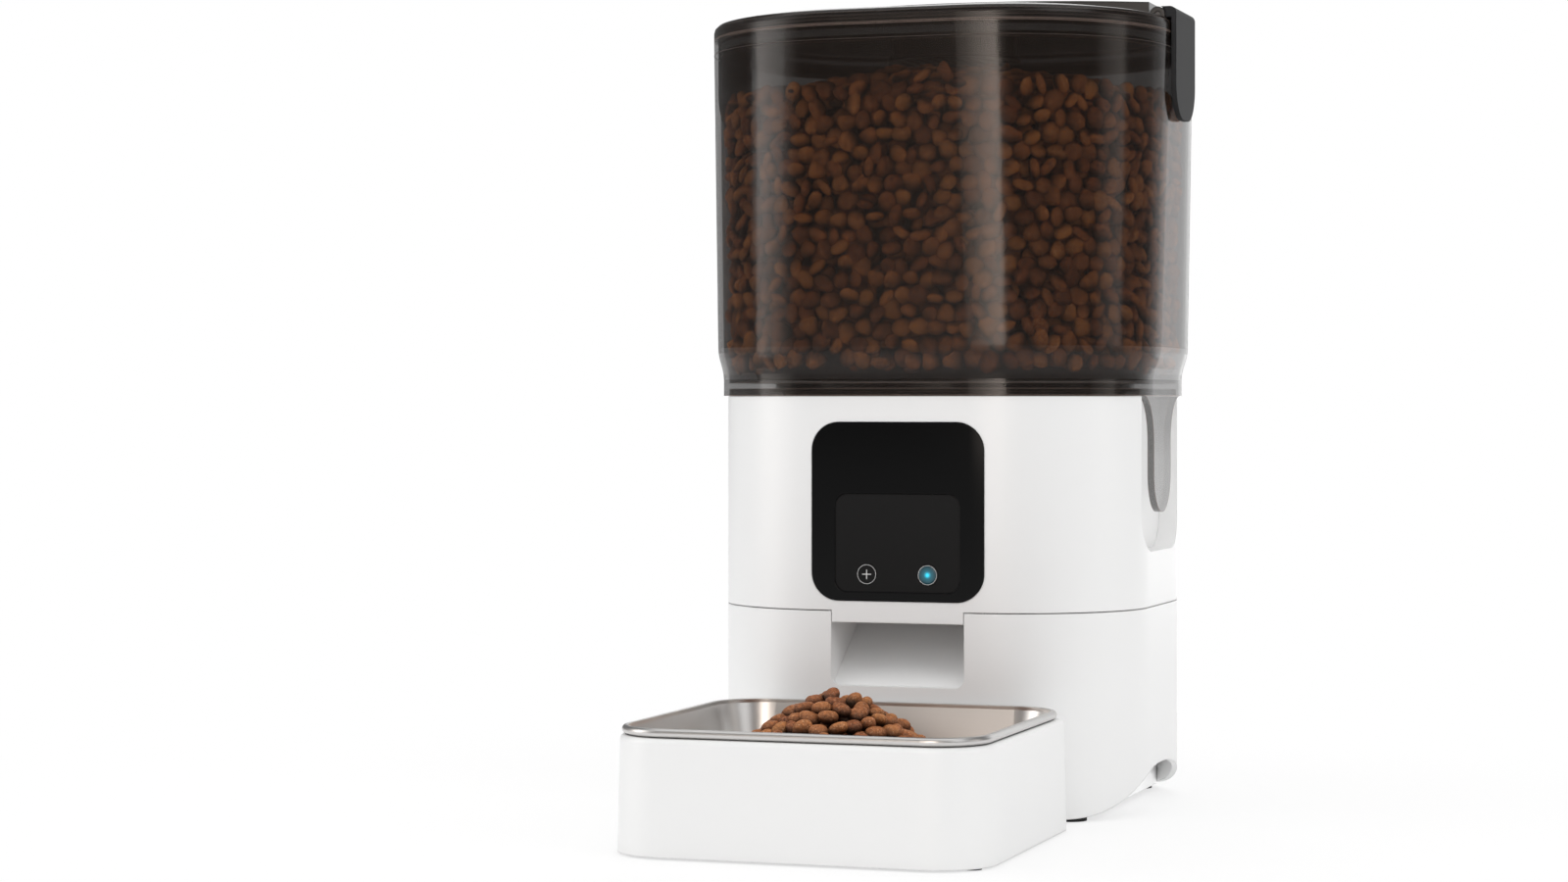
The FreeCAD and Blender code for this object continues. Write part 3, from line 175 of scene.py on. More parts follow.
# ---- shader node groups ------------------------------------------------------------------
SURFACE_OUTPUTS = [("Color", "NodeSocketColor"), ("Roughness", "NodeSocketFloat"),
                   ("Height", "NodeSocketFloat")]
def new_group(name, inputs, outputs):
    """Empty shader group with named sockets, and its input and output nodes."""
    group = bpy.data.node_groups.new(name, "ShaderNodeTree")
    for label, kind, value in inputs:
        socket = group.interface.new_socket(label, in_out="INPUT", socket_type=kind)
        socket.default_value = value
    for label, kind in outputs:
        group.interface.new_socket(label, in_out="OUTPUT", socket_type=kind)
    nodes = group.nodes
    return group, nodes.new("NodeGroupInput"), nodes.new("NodeGroupOutput")


def add(nodes, kind, **values):
    node = nodes.new(kind)
    for label, value in values.items():
        setattr(node, label, value)
    return node


def maths(group, operation, first, second):
    """Math node on two values, each a number or another node's output."""
    node = add(group.nodes, "ShaderNodeMath", operation=operation)
    for slot, value in enumerate((first, second)):
        if isinstance(value, (int, float)):
            node.inputs[slot].default_value = value
        else:
            group.links.new(value, node.inputs[slot])
    return node.outputs[0]


def place_of(group, scale, stretch=(1.0, 1.0, 1.0)):
    """Object coordinates in metres times scale, stretched per axis."""
    where = add(group.nodes, "ShaderNodeTexCoord")
    mapping = add(group.nodes, "ShaderNodeMapping")
    mapping.inputs["Scale"].default_value = stretch
    group.links.new(where.outputs["Object"], mapping.inputs["Vector"])
    grow = add(group.nodes, "ShaderNodeVectorMath", operation="SCALE")
    group.links.new(mapping.outputs["Vector"], grow.inputs[0])
    if isinstance(scale, (int, float)):
        grow.inputs["Scale"].default_value = scale
    else:
        group.links.new(scale, grow.inputs["Scale"])
    return grow.outputs["Vector"]


def noise(group, vector, detail=3.0, roughness=0.55):
    node = add(group.nodes, "ShaderNodeTexNoise")
    node.inputs["Scale"].default_value = 1.0
    node.inputs["Detail"].default_value = detail
    node.inputs["Roughness"].default_value = roughness
    group.links.new(vector, node.inputs["Vector"])
    return node.outputs["Fac"]


def make_moulding_group():
    """Moulded plastic: slow colour drift, gloss drift, fine spark-eroded grain."""
    group, source, sink = new_group(
        "Moulding",
        [("Color", "NodeSocketColor", (0.8, 0.8, 0.8, 1.0)), ("Drift", "NodeSocketFloat", 0.03),
         ("Roughness", "NodeSocketFloat", 0.4), ("Gloss Drift", "NodeSocketFloat", 0.06),
         ("Grain Scale", "NodeSocketFloat", 2600.0)],
        SURFACE_OUTPUTS)
    links = group.links
    slow = noise(group, place_of(group, 14.0), 2.0)
    middle = noise(group, place_of(group, 95.0), 4.0)
    fine = noise(group, place_of(group, source.outputs["Grain Scale"]), 2.0)
    both = maths(group, "ADD", maths(group, "MULTIPLY", slow, 0.7),
                 maths(group, "MULTIPLY", middle, 0.3))
    level = maths(group, "SUBTRACT", both, 0.5)
    value = maths(group, "ADD", maths(group, "MULTIPLY", level, source.outputs["Drift"]), 1.0)
    shade = add(group.nodes, "ShaderNodeHueSaturation")
    links.new(value, shade.inputs["Value"])
    links.new(source.outputs["Color"], shade.inputs["Color"])
    rough = maths(group, "ADD", source.outputs["Roughness"],
                  maths(group, "MULTIPLY", level, source.outputs["Gloss Drift"]))
    links.new(shade.outputs["Color"], sink.inputs["Color"])
    links.new(rough, sink.inputs["Roughness"])
    links.new(fine, sink.inputs["Height"])
    return group


def make_edge_group():
    """Mask that is 1 on edges, from how far a rounded normal leaves the true one."""
    group, source, sink = new_group(
        "Edges", [("Radius", "NodeSocketFloat", 0.0006), ("Gain", "NodeSocketFloat", 3.0)],
        [("Mask", "NodeSocketFloat"), ("Normal", "NodeSocketVector")])
    links = group.links
    bevel = add(group.nodes, "ShaderNodeBevel", samples=4)
    links.new(source.outputs["Radius"], bevel.inputs["Radius"])
    geometry = add(group.nodes, "ShaderNodeNewGeometry")
    dot = add(group.nodes, "ShaderNodeVectorMath", operation="DOT_PRODUCT")
    links.new(bevel.outputs["Normal"], dot.inputs[0])
    links.new(geometry.outputs["Normal"], dot.inputs[1])
    turned = maths(group, "SUBTRACT", 1.0, dot.outputs["Value"])
    strong = maths(group, "MULTIPLY", turned, source.outputs["Gain"])
    patches = maths(group, "ADD", noise(group, place_of(group, 220.0)), 0.4)
    patchy = maths(group, "MULTIPLY", strong, patches)
    clamp = add(group.nodes, "ShaderNodeClamp")
    links.new(patchy, clamp.inputs["Value"])
    links.new(clamp.outputs["Result"], sink.inputs["Mask"])
    links.new(bevel.outputs["Normal"], sink.inputs["Normal"])
    return group


def make_brush_group():
    """Brushed or spun metal: streaks along one axis, in gloss, colour and height."""
    group, source, sink = new_group(
        "Brushed",
        [("Color", "NodeSocketColor", (0.6, 0.6, 0.6, 1.0)), ("Roughness", "NodeSocketFloat", 0.3),
         ("Streak", "NodeSocketFloat", 0.12), ("Scale", "NodeSocketFloat", 900.0)],
        SURFACE_OUTPUTS)
    links = group.links
    streaks = noise(group, place_of(group, source.outputs["Scale"], (0.02, 1.0, 1.0)), 4.0)
    smudge = noise(group, place_of(group, 45.0), 3.0)
    level = maths(group, "SUBTRACT", streaks, 0.5)
    haze = maths(group, "SUBTRACT", smudge, 0.5)
    value = maths(group, "ADD", maths(group, "MULTIPLY", level, source.outputs["Streak"]), 1.0)
    shade = add(group.nodes, "ShaderNodeHueSaturation")
    links.new(value, shade.inputs["Value"])
    links.new(source.outputs["Color"], shade.inputs["Color"])
    rough = maths(group, "ADD", source.outputs["Roughness"],
                  maths(group, "ADD", maths(group, "MULTIPLY", level, source.outputs["Streak"]),
                        maths(group, "MULTIPLY", haze, 0.10)))
    links.new(shade.outputs["Color"], sink.inputs["Color"])
    links.new(rough, sink.inputs["Roughness"])
    links.new(streaks, sink.inputs["Height"])
    return group


def make_biscuit_group():
    """Baked dry food: crumbly pits, pale grains, a different brown for each piece, and painted shade
    on the side of each piece that faces into the food.
    """
    group, source, sink = new_group(
        "Biscuit",
        [("Color", "NodeSocketColor", (0.2, 0.07, 0.03, 1.0)), ("Spread", "NodeSocketFloat", 0.55)],
        SURFACE_OUTPUTS)
    links = group.links
    geometry = add(group.nodes, "ShaderNodeNewGeometry")
    piece = maths(group, "SUBTRACT", geometry.outputs["Random Per Island"], 0.5)
    crumb = noise(group, place_of(group, 900.0), 5.0, 0.65)
    blotch = noise(group, place_of(group, 260.0), 3.0)
    pits = add(group.nodes, "ShaderNodeTexVoronoi")
    pits.inputs["Scale"].default_value = 1.0
    links.new(place_of(group, 1100.0), pits.inputs["Vector"])
    value = maths(group, "ADD", maths(group, "MULTIPLY", piece, source.outputs["Spread"]), 0.62)
    value = maths(group, "ADD", value, maths(group, "MULTIPLY", blotch, 0.8))
    crumbs = maths(group, "MULTIPLY", maths(group, "SUBTRACT", crumb, 0.5), 2.6)
    value = maths(group, "ADD", value, crumbs)
    # Painted shade: each piece darkens on its side that faces into the food, read from the outward
    # attribute.
    out = add(group.nodes, "ShaderNodeAttribute", attribute_name="outward")
    painted_inward_shade = add(group.nodes, "ShaderNodeMapRange", interpolation_type="SMOOTHSTEP")
    painted_inward_shade.inputs["From Min"].default_value = -0.30
    painted_inward_shade.inputs["From Max"].default_value = 0.72
    painted_inward_shade.inputs["To Min"].default_value = 0.08
    links.new(out.outputs["Fac"], painted_inward_shade.inputs["Value"])
    value = maths(group, "MULTIPLY", value, painted_inward_shade.outputs["Result"])
    hue = maths(group, "ADD", maths(group, "MULTIPLY", piece, 0.012), 0.5)
    shade = add(group.nodes, "ShaderNodeHueSaturation")
    links.new(hue, shade.inputs["Hue"])
    links.new(value, shade.inputs["Value"])
    links.new(source.outputs["Color"], shade.inputs["Color"])
    grain = add(group.nodes, "ShaderNodeMapRange", interpolation_type="SMOOTHSTEP")
    grain.inputs["From Min"].default_value = 0.56
    grain.inputs["From Max"].default_value = 0.66
    grain.inputs["To Max"].default_value = 0.55
    links.new(noise(group, place_of(group, 1500.0), 3.0), grain.inputs["Value"])
    pale = add(group.nodes, "ShaderNodeHueSaturation")
    pale.inputs["Hue"].default_value = 0.515
    pale.inputs["Saturation"].default_value = 0.80
    pale.inputs["Value"].default_value = 2.1
    links.new(shade.outputs["Color"], pale.inputs["Color"])
    speckled = add(group.nodes, "ShaderNodeMix", data_type="RGBA")
    links.new(grain.outputs["Result"], speckled.inputs["Factor"])
    links.new(shade.outputs["Color"], speckled.inputs["A"])
    links.new(pale.outputs["Color"], speckled.inputs["B"])
    height = maths(group, "ADD", crumb, maths(group, "MULTIPLY", pits.outputs["Distance"], 0.35))
    rough = maths(group, "ADD", maths(group, "MULTIPLY", crumb, 0.4), 0.34)
    links.new(speckled.outputs["Result"], sink.inputs["Color"])
    links.new(rough, sink.inputs["Roughness"])
    links.new(height, sink.inputs["Height"])
    return group


GROUP_MAKERS = {
    "Moulding": make_moulding_group,
    "Edges": make_edge_group,
    "Brushed": make_brush_group,
    "Biscuit": make_biscuit_group,
}


def effect(tree, name, **values):
    """A node group placed in a material, with its own values."""
    group = bpy.data.node_groups.get(name) or GROUP_MAKERS[name]()
    node = tree.nodes.new("ShaderNodeGroup")
    node.node_tree = group
    for label, value in values.items():
        socket = node.inputs[label.replace("_", " ")]
        socket.default_value = tuple(value) + (1.0,) if socket.type == "RGBA" else value
    return node


# ---- materials ---------------------------------------------------------------------------
def new_material(name):
    """New material, its node tree and its surface shader."""
    material = bpy.data.materials.new(name)
    material.use_nodes = True
    tree = material.node_tree
    return material, tree, tree.nodes["Principled BSDF"]


def bump(tree, height, distance, strength=1.0, normal=None):
    """Bump node's normal, from a height that is distance deep at most."""
    node = tree.nodes.new("ShaderNodeBump")
    node.inputs["Distance"].default_value = distance
    node.inputs["Strength"].default_value = strength
    tree.links.new(height, node.inputs["Height"])
    if normal is not None:
        tree.links.new(normal, node.inputs["Normal"])
    return node.outputs["Normal"]


def moulded(name, tone, rough, drift=0.03, grain=0.00001, grain_scale=2600.0, edge=0.0006,
            edge_lift=1.12, gloss_drift=0.06, shine=0.5):
    """Moulded plastic whose edges are softly rounded, with the tone times edge_lift on them."""
    material, tree, shader = new_material(name)
    body = effect(tree, "Moulding", Color=tone, Drift=drift, Roughness=rough,
                  Gloss_Drift=gloss_drift, Grain_Scale=grain_scale)
    edges = effect(tree, "Edges", Radius=edge, Gain=1.6)
    lift = tree.nodes.new("ShaderNodeMix")
    lift.data_type = "RGBA"
    # Over 1, edge_lift lightens the edges; under 1 it darkens them.
    edge_tone = tuple(min(1.0, part * edge_lift) for part in tone) + (1.0,)
    tree.links.new(edges.outputs["Mask"], lift.inputs["Factor"])
    tree.links.new(body.outputs["Color"], lift.inputs["A"])
    lift.inputs["B"].default_value = edge_tone
    tree.links.new(lift.outputs["Result"], shader.inputs["Base Color"])
    tree.links.new(body.outputs["Roughness"], shader.inputs["Roughness"])
    normal = bump(tree, body.outputs["Height"], grain, 1.0, edges.outputs["Normal"])
    tree.links.new(normal, shader.inputs["Normal"])
    shader.inputs["Specular IOR Level"].default_value = shine
    return material


def metal(name, tone, rough, streak=0.12, scale=900.0, depth=0.000004, edge=0.0004):
    """Brushed or polished metal."""
    material, tree, shader = new_material(name)
    body = effect(tree, "Brushed", Color=tone, Roughness=rough, Streak=streak, Scale=scale)
    edges = effect(tree, "Edges", Radius=edge, Gain=1.0)
    tree.links.new(body.outputs["Color"], shader.inputs["Base Color"])
    tree.links.new(body.outputs["Roughness"], shader.inputs["Roughness"])
    normal = bump(tree, body.outputs["Height"], depth, 1.0, edges.outputs["Normal"])
    tree.links.new(normal, shader.inputs["Normal"])
    shader.inputs["Metallic"].default_value = 1.0
    return material


def smoked(name, tone, face, edge_on, rough=0.07, clear=0.10):
    """Smoke-tinted clear plastic with painted highlight lines on its edges.

    It hides face of what lies behind when seen square on, edge_on when seen along the
    wall, and only clear of the light that falls through it.
    """
    material, tree, shader = new_material(name)
    body = effect(tree, "Moulding", Color=tone, Drift=0.25, Roughness=rough,
                  Gloss_Drift=0.05, Grain_Scale=900.0)
    edges = effect(tree, "Edges", Radius=0.0009, Gain=4.5)
    # Painted highlight: the edge mask turns the colour to a light brown and makes the edges opaque.
    rim = tree.nodes.new("ShaderNodeMix")
    rim.data_type = "RGBA"
    rim.inputs["B"].default_value = (0.26, 0.19, 0.16, 1.0)
    tree.links.new(edges.outputs["Mask"], rim.inputs["Factor"])
    tree.links.new(body.outputs["Color"], rim.inputs["A"])
    tree.links.new(rim.outputs["Result"], shader.inputs["Base Color"])
    tree.links.new(body.outputs["Roughness"], shader.inputs["Roughness"])
    normal = bump(tree, body.outputs["Height"], 0.0000005)
    tree.links.new(normal, shader.inputs["Normal"])
    weight = tree.nodes.new("ShaderNodeLayerWeight")
    weight.inputs["Blend"].default_value = 0.5
    ramp = tree.nodes.new("ShaderNodeMapRange")
    ramp.interpolation_type = "SMOOTHSTEP"
    ramp.inputs["From Min"].default_value = 0.25
    ramp.inputs["To Min"].default_value = face
    ramp.inputs["To Max"].default_value = edge_on
    tree.links.new(weight.outputs["Facing"], ramp.inputs["Value"])
    path = tree.nodes.new("ShaderNodeLightPath")
    lighting = tree.nodes.new("ShaderNodeMath")
    lighting.operation = "MAXIMUM"
    tree.links.new(path.outputs["Is Shadow Ray"], lighting.inputs[0])
    tree.links.new(path.outputs["Is Diffuse Ray"], lighting.inputs[1])
    let_in = tree.nodes.new("ShaderNodeMapRange")
    let_in.inputs["To Max"].default_value = clear
    tree.links.new(lighting.outputs[0], let_in.inputs["Value"])
    tree.links.new(ramp.outputs["Result"], let_in.inputs["To Min"])
    dense = tree.nodes.new("ShaderNodeMath")
    dense.operation = "MAXIMUM"
    tree.links.new(let_in.outputs["Result"], dense.inputs[0])
    tree.links.new(edges.outputs["Mask"], dense.inputs[1])
    tree.links.new(dense.outputs[0], shader.inputs["Alpha"])
    shader.inputs["IOR"].default_value = 1.5
    shader.inputs["Specular IOR Level"].default_value = 0.38
    return material


def biscuit(name, tone, spread=0.55):
    """Crumbly dry food."""
    material, tree, shader = new_material(name)
    body = effect(tree, "Biscuit", Color=tone, Spread=spread)
    tree.links.new(body.outputs["Color"], shader.inputs["Base Color"])
    tree.links.new(body.outputs["Roughness"], shader.inputs["Roughness"])
    normal = bump(tree, body.outputs["Height"], 0.0006, 0.8)
    tree.links.new(normal, shader.inputs["Normal"])
    shader.inputs["Specular IOR Level"].default_value = 0.25
    return material


def lit(name, tone, rim_tone, strength, centre, radius):
    """Light behind a diffuser: brightest in the middle, dying towards the edge."""
    material, tree, shader = new_material(name)
    where = tree.nodes.new("ShaderNodeTexCoord")
    apart = tree.nodes.new("ShaderNodeVectorMath")
    apart.operation = "DISTANCE"
    apart.inputs[1].default_value = centre
    tree.links.new(where.outputs["Object"], apart.inputs[0])
    fall = tree.nodes.new("ShaderNodeMapRange")
    fall.interpolation_type = "SMOOTHSTEP"
    fall.inputs["From Max"].default_value = radius
    tree.links.new(apart.outputs["Value"], fall.inputs["Value"])
    blend = tree.nodes.new("ShaderNodeMix")
    blend.data_type = "RGBA"
    blend.inputs["A"].default_value = tuple(tone) + (1.0,)
    blend.inputs["B"].default_value = tuple(rim_tone) + (1.0,)
    tree.links.new(fall.outputs["Result"], blend.inputs["Factor"])
    tree.links.new(blend.outputs["Result"], shader.inputs["Emission Color"])
    tree.links.new(blend.outputs["Result"], shader.inputs["Base Color"])
    shader.inputs["Emission Strength"].default_value = strength
    shader.inputs["Roughness"].default_value = 0.3
    return material


def dress(material, *nodes):
    """Gives CAD nodes a material."""
    for node in nodes:
        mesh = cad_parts[node].data
        if not mesh.materials:
            mesh.materials.append(material)
        for index in range(len(mesh.materials)):
            mesh.materials[index] = material


# ---- mesh helpers ------------------------------------------------------------------------
def mesh_object(name, vertices, faces, material, body):
    """Smooth-shaded mesh that rides on a CAD body."""
    mesh = bpy.data.meshes.new(name)
    mesh.from_pydata([tuple(v) for v in vertices], [], [tuple(f) for f in faces])
    mesh.polygons.foreach_set("use_smooth", [True] * len(mesh.polygons))
    mesh.materials.append(material)
    obj = bpy.data.objects.new(name, mesh)
    bpy.context.scene.collection.objects.link(obj)
    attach(obj, body)
    return obj


def flat_ring(name, centre, outer, inner, height, material, body, steps=96):
    """Thin printed ring that faces the front, its back on the plane through centre."""
    vertices = []
    faces = []
    for step in range(steps):
        angle = 2 * math.pi * step / steps
        for radius, lift in ((outer, 0), (outer, height), (inner, height), (inner, 0)):
            vertices.append((centre[0] + radius * math.cos(angle), centre[1] - lift,
                             centre[2] + radius * math.sin(angle)))
    for step in range(steps):
        a = 4 * step
        b = 4 * ((step + 1) % steps)
        for side in range(4):
            other = (side + 1) % 4
            faces.append((a + side, b + side, b + other, a + other))
    obj = mesh_object(name, vertices, faces, material, body)
    obj.data.polygons.foreach_set("use_smooth", [False] * len(obj.data.polygons))
    return obj


def flat_disc(name, centre, radius, height, material, body, steps=64, rings=5):
    """Thin domed disc that faces the front."""
    vertices = [(centre[0], centre[1] - height, centre[2])]
    faces = []
    for ring in range(1, rings + 1):
        part = ring / rings
        for step in range(steps):
            angle = 2 * math.pi * step / steps
            lift = height * math.sqrt(max(0.0, 1 - part ** 2)) + height * 0.15
            lift = min(lift, height)
            vertices.append((centre[0] + radius * part * math.cos(angle), centre[1] - lift,
                             centre[2] + radius * part * math.sin(angle)))
    for step in range(steps):
        faces.append((0, 1 + (step + 1) % steps, 1 + step))
    for ring in range(rings - 1):
        for step in range(steps):
            a = 1 + ring * steps + step
            b = 1 + ring * steps + (step + 1) % steps
            faces.append((a, b, b + steps, a + steps))
    base = len(vertices)
    last = 1 + (rings - 1) * steps
    for step in range(steps):
        x, _, z = vertices[last + step]
        vertices.append((x, centre[1], z))
    for step in range(steps):
        following = (step + 1) % steps
        faces.append((last + step, last + following, base + following, base + step))
    faces.append(tuple(base + step for step in range(steps)))
    return mesh_object(name, vertices, faces, material, body)


def plus_mark(name, centre, reach, stroke, height, material, body):
    """Thin printed plus that faces the front."""
    half = stroke / 2
    outline = [(-half, reach), (-half, half), (-reach, half), (-reach, -half), (-half, -half),
               (-half, -reach), (half, -reach), (half, -half), (reach, -half), (reach, half),
               (half, half), (half, reach)]
    count = len(outline)
    vertices = [(centre[0] + x, centre[1] - height, centre[2] + z) for x, z in outline]
    vertices += [(centre[0] + x, centre[1], centre[2] + z) for x, z in outline]
    faces = [(0, 1, 10, 11), (2, 3, 4, 1), (1, 4, 7, 10), (10, 7, 8, 9), (4, 5, 6, 7)]
    faces += [tuple(count + v for v in face[::-1]) for face in faces]
    for step in range(count):
        following = (step + 1) % count
        faces.append((step, count + step, count + following, following))
    obj = mesh_object(name, vertices, faces, material, body)
    obj.data.polygons.foreach_set("use_smooth", [False] * len(obj.data.polygons))
    return obj


# ---- dry food ----------------------------------------------------------------------------
def biscuit_shapes(divisions, seed, flat):
    """A few different pressed biscuits of unit radius: round, bean, and three-cornered."""
    rng = random.Random(seed)
    shapes = []
    for kind in range(6):
        bm = bmesh.new()
        bmesh.ops.create_icosphere(bm, subdivisions=divisions, radius=1.0)
        bm.verts.ensure_lookup_table()
        points = np.array([v.co[:] for v in bm.verts])
        faces = np.array([[v.index for v in f.verts] for f in bm.faces])
        bm.free()
        angle = np.arctan2(points[:, 1], points[:, 0])
        across = np.hypot(points[:, 0], points[:, 1])
        lobes = 3 if kind % 3 == 2 else 2
        depth = 0.13 if kind % 3 == 2 else 0.10
        wave = 1 + depth * np.cos(lobes * angle + rng.uniform(0, 6)) * across
        points[:, 0] *= wave * rng.uniform(0.96, 1.12)
        points[:, 1] *= wave * rng.uniform(0.88, 1.0)
        dent = np.exp(-(across / 0.42) ** 2) * (0.30 if kind % 2 else 0.14)
        points[:, 2] *= flat * (1 - dent)
        bumps = [(np.array([rng.gauss(0, 1) for _ in range(3)]), rng.uniform(2, 5),
                  rng.uniform(0, 6)) for _ in range(6)]
        for direction, rate, shift in bumps:
            direction = direction / np.linalg.norm(direction)
            points *= (1 + 0.022 * np.sin(rate * points @ direction + shift))[:, None]
        shapes.append((points, faces))
    return shapes


def gather(name, places, divisions, material, body, seed, flat=0.5):
    """One mesh of many biscuits. Each place is (centre, normal, tilt, radius, room, way).

    A piece is pressed flat where it would reach further than its room towards way, which
    is the wall or floor that it lies against.
    """
    rng = random.Random(seed)
    shapes = biscuit_shapes(divisions, seed, flat)
    vertices = []
    faces = []
    outward = []
    total = 0
    for centre, normal, tilt, radius, room, way in places:
        points, sides = shapes[rng.randrange(len(shapes))]
        turn = Matrix.Rotation(rng.uniform(0, 2 * math.pi), 3, "Z")
        lean_axis = Vector((rng.gauss(0, 1), rng.gauss(0, 1), rng.gauss(0, 1))).normalized()
        lean = Matrix.Rotation(rng.gauss(0, tilt), 3, lean_axis)
        face_out = Vector(normal).to_track_quat("Z", "Y").to_matrix()
        rotation = np.array(lean @ face_out @ turn)
        turned = points @ rotation.T
        outward.append(turned @ np.array(Vector(normal).normalized()))
        reach = turned * radius
        beyond = np.maximum(0.0, reach @ np.array(way) - room)
        reach -= beyond[:, None] * np.array(way)
        vertices.append(reach + np.array(centre))
        faces.append(sides + total)
        total += len(points)
    obj = mesh_object(name, np.concatenate(vertices), np.concatenate(faces).tolist(), material,
                      body)
    # outward: how far each point faces out of the food; the food materials paint shade on the inward
    # side from it.
    layer = obj.data.attributes.new("outward", "FLOAT", "POINT")
    layer.data.foreach_set("value", np.concatenate(outward))
    return obj


def tank_ring(height, inset):
    """Half width, half depth and corner radius of the tank's outer form at a height, drawn in."""
    share_up = max(0.0, min(1.0, (height - SHOULDER_Z) / (TANK_HIGH.z - SHOULDER_Z)))
    half_x = (TANK_HIGH.x - TANK_LOW.x) / 2 - LEAN_X * (1 - share_up)
    half_y = (TANK_HIGH.y - TANK_LOW.y) / 2 - LEAN_Y * (1 - share_up)
    below = max(0.0, min(1.0, (SHOULDER_Z - height) / NECK_TALL))
    ease = 0.5 - 0.5 * math.cos(math.pi * below)
    half_x -= NECK_X * ease
    half_y -= NECK_Y * ease
    corner = (NECK_CORNER_MM + SHOULDER_GAIN_MM * (1 - ease) + TOP_GAIN_MM * share_up) * MM
    return half_x - inset, half_y - inset, corner - inset


def along_ring(ring, part):
    """Point and outward normal on a rounded rectangle, at a share of its length."""
    half_x, half_y, corner = ring
    flat_x = 2 * (half_x - corner)
    flat_y = 2 * (half_y - corner)
    arc = math.pi / 2 * corner
    run = part % 1.0 * (2 * flat_x + 2 * flat_y + 4 * arc)
    spots = [(flat_x, (-flat_x / 2, -half_y), (1, 0), -90),
             (flat_y, (half_x, -flat_y / 2), (0, 1), 0),
             (flat_x, (flat_x / 2, half_y), (-1, 0), 90),
             (flat_y, (-half_x, flat_y / 2), (0, -1), 180)]
    centres = [(flat_x / 2, -flat_y / 2), (flat_x / 2, flat_y / 2), (-flat_x / 2, flat_y / 2),
               (-flat_x / 2, -flat_y / 2)]
    for (flat, start, way, angle), (cx, cy) in zip(spots, centres):
        if run < flat:
            normal = (math.cos(math.radians(angle)), math.sin(math.radians(angle)))
            return (start[0] + way[0] * run, start[1] + way[1] * run), normal
        run -= flat
        if run < arc:
            turn = math.radians(angle) + run / corner
            normal = (math.cos(turn), math.sin(turn))
            return (cx + corner * normal[0], cy + corner * normal[1]), normal
        run -= arc
    return (spots[0][1], (0, -1))


def rim_bead(material, below, half, steps=240):
    """Fine bead round the tank, a little under the seam of the lid; its light brown is a painted
    highlight line.
    """
    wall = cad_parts["tank"]
    height = TANK_HIGH.z - below
    vertices = []
    faces = []
    for step in range(steps):
        (x, y), _ = along_ring(tank_ring(height, -2 * MM), step / steps)
        found, spot, normal, _ = wall.closest_point_on_mesh((x, AXIS_Y + y, height))
        if not found:
            raise RuntimeError("no tank wall beside the bead")
        for out, lift in ((-half, -half), (half * 0.8, 0.0), (-half, half)):
            point = spot + normal * out
            vertices.append((point.x, point.y, point.z + lift))
    for step in range(steps):
        a = 3 * step
        b = 3 * ((step + 1) % steps)
        for side in range(3):
            other = (side + 1) % 3
            faces.append((a + side, b + side, b + other, a + other))
    return mesh_object("tank_rim_bead", vertices, faces, material, "tank")


def food_line(x, y, level):
    """Uneven top of the food in the tank."""
    wave = sum(tall * math.sin(per_x * x + per_y * y + shift)
               for tall, per_x, per_y, shift in FOOD_WAVES)
    mound = MOUND_TALL_MM * max(0.0, 1 - (x ** 2 + y ** 2) / MOUND_REACH ** 2)
    return level + (wave + mound) * MM


def wall_places(settings, layer_inset, pitch, rng, part_low, part_high):
    """Pieces in nested rows along the tank's wall, for one share of its length."""
    places = []
    rise = 0.86  # of the pitch, from row to row
    clearance = 0.15 * MM
    rows = int((settings.level - settings.floor) / (pitch * rise)) + 1
    for row in range(rows + 1):
        height = settings.floor + row * pitch * rise
        ring = tank_ring(height, layer_inset)
        girth = 4 * (ring[0] + ring[1]) - (8 - 2 * math.pi) * ring[2]
        count = int(girth / pitch)
        for step in range(count):
            part = (step + 0.5 * (row % 2) + rng.uniform(-0.22, 0.22)) / count
            if not part_low <= part % 1.0 < part_high:
                continue
            lift = rng.uniform(-0.18, 0.18) * pitch
            deep = rng.uniform(0.0, 2.4) * MM
            (x, y), normal = along_ring(tank_ring(height, layer_inset + deep), part)
            z = height + lift
            if z > food_line(x, y, settings.level):
                continue
            radius = settings.size * rng.uniform(0.88, 1.1)
            room = layer_inset + deep - TANK_WALL - clearance
            faces_out = (normal[0], normal[1], rng.uniform(-0.5, 0.9))
            places.append(((x, AXIS_Y + y, z), faces_out, 0.85, radius, room,
                           (normal[0], normal[1], 0.0)))
    return places


def top_places(settings, rng):
    """Two layers of pieces over the top of the food in the tank."""
    places = []
    pitch = settings.size * 1.75
    for inset, depth in ((8.4 * MM, 2.5 * MM), (10.4 * MM, 8.0 * MM)):
        ring = tank_ring(settings.level, inset)
        steps_x = int(ring[0] * 2 / pitch)
        steps_y = int(ring[1] * 2 / pitch)
        for ix in range(steps_x + 1):
            for iy in range(steps_y + 1):
                x = -ring[0] + (ix + 0.5 * (iy % 2) + rng.uniform(-0.25, 0.25)) * pitch
                y = -ring[1] + (iy + rng.uniform(-0.25, 0.25)) * pitch
                over_x = max(0.0, abs(x) - (ring[0] - ring[2]))
                over_y = max(0.0, abs(y) - (ring[1] - ring[2]))
                if math.hypot(over_x, over_y) > ring[2]:
                    continue
                z = food_line(x, y, settings.level) - depth + rng.uniform(-1.2, 1.6) * MM
                radius = settings.size * rng.uniform(0.88, 1.1)
                places.append(((x, AXIS_Y + y, z), (0, 0, 1), 0.6, radius, settings.size * 2,
                               (0, 0, 1)))
    return places


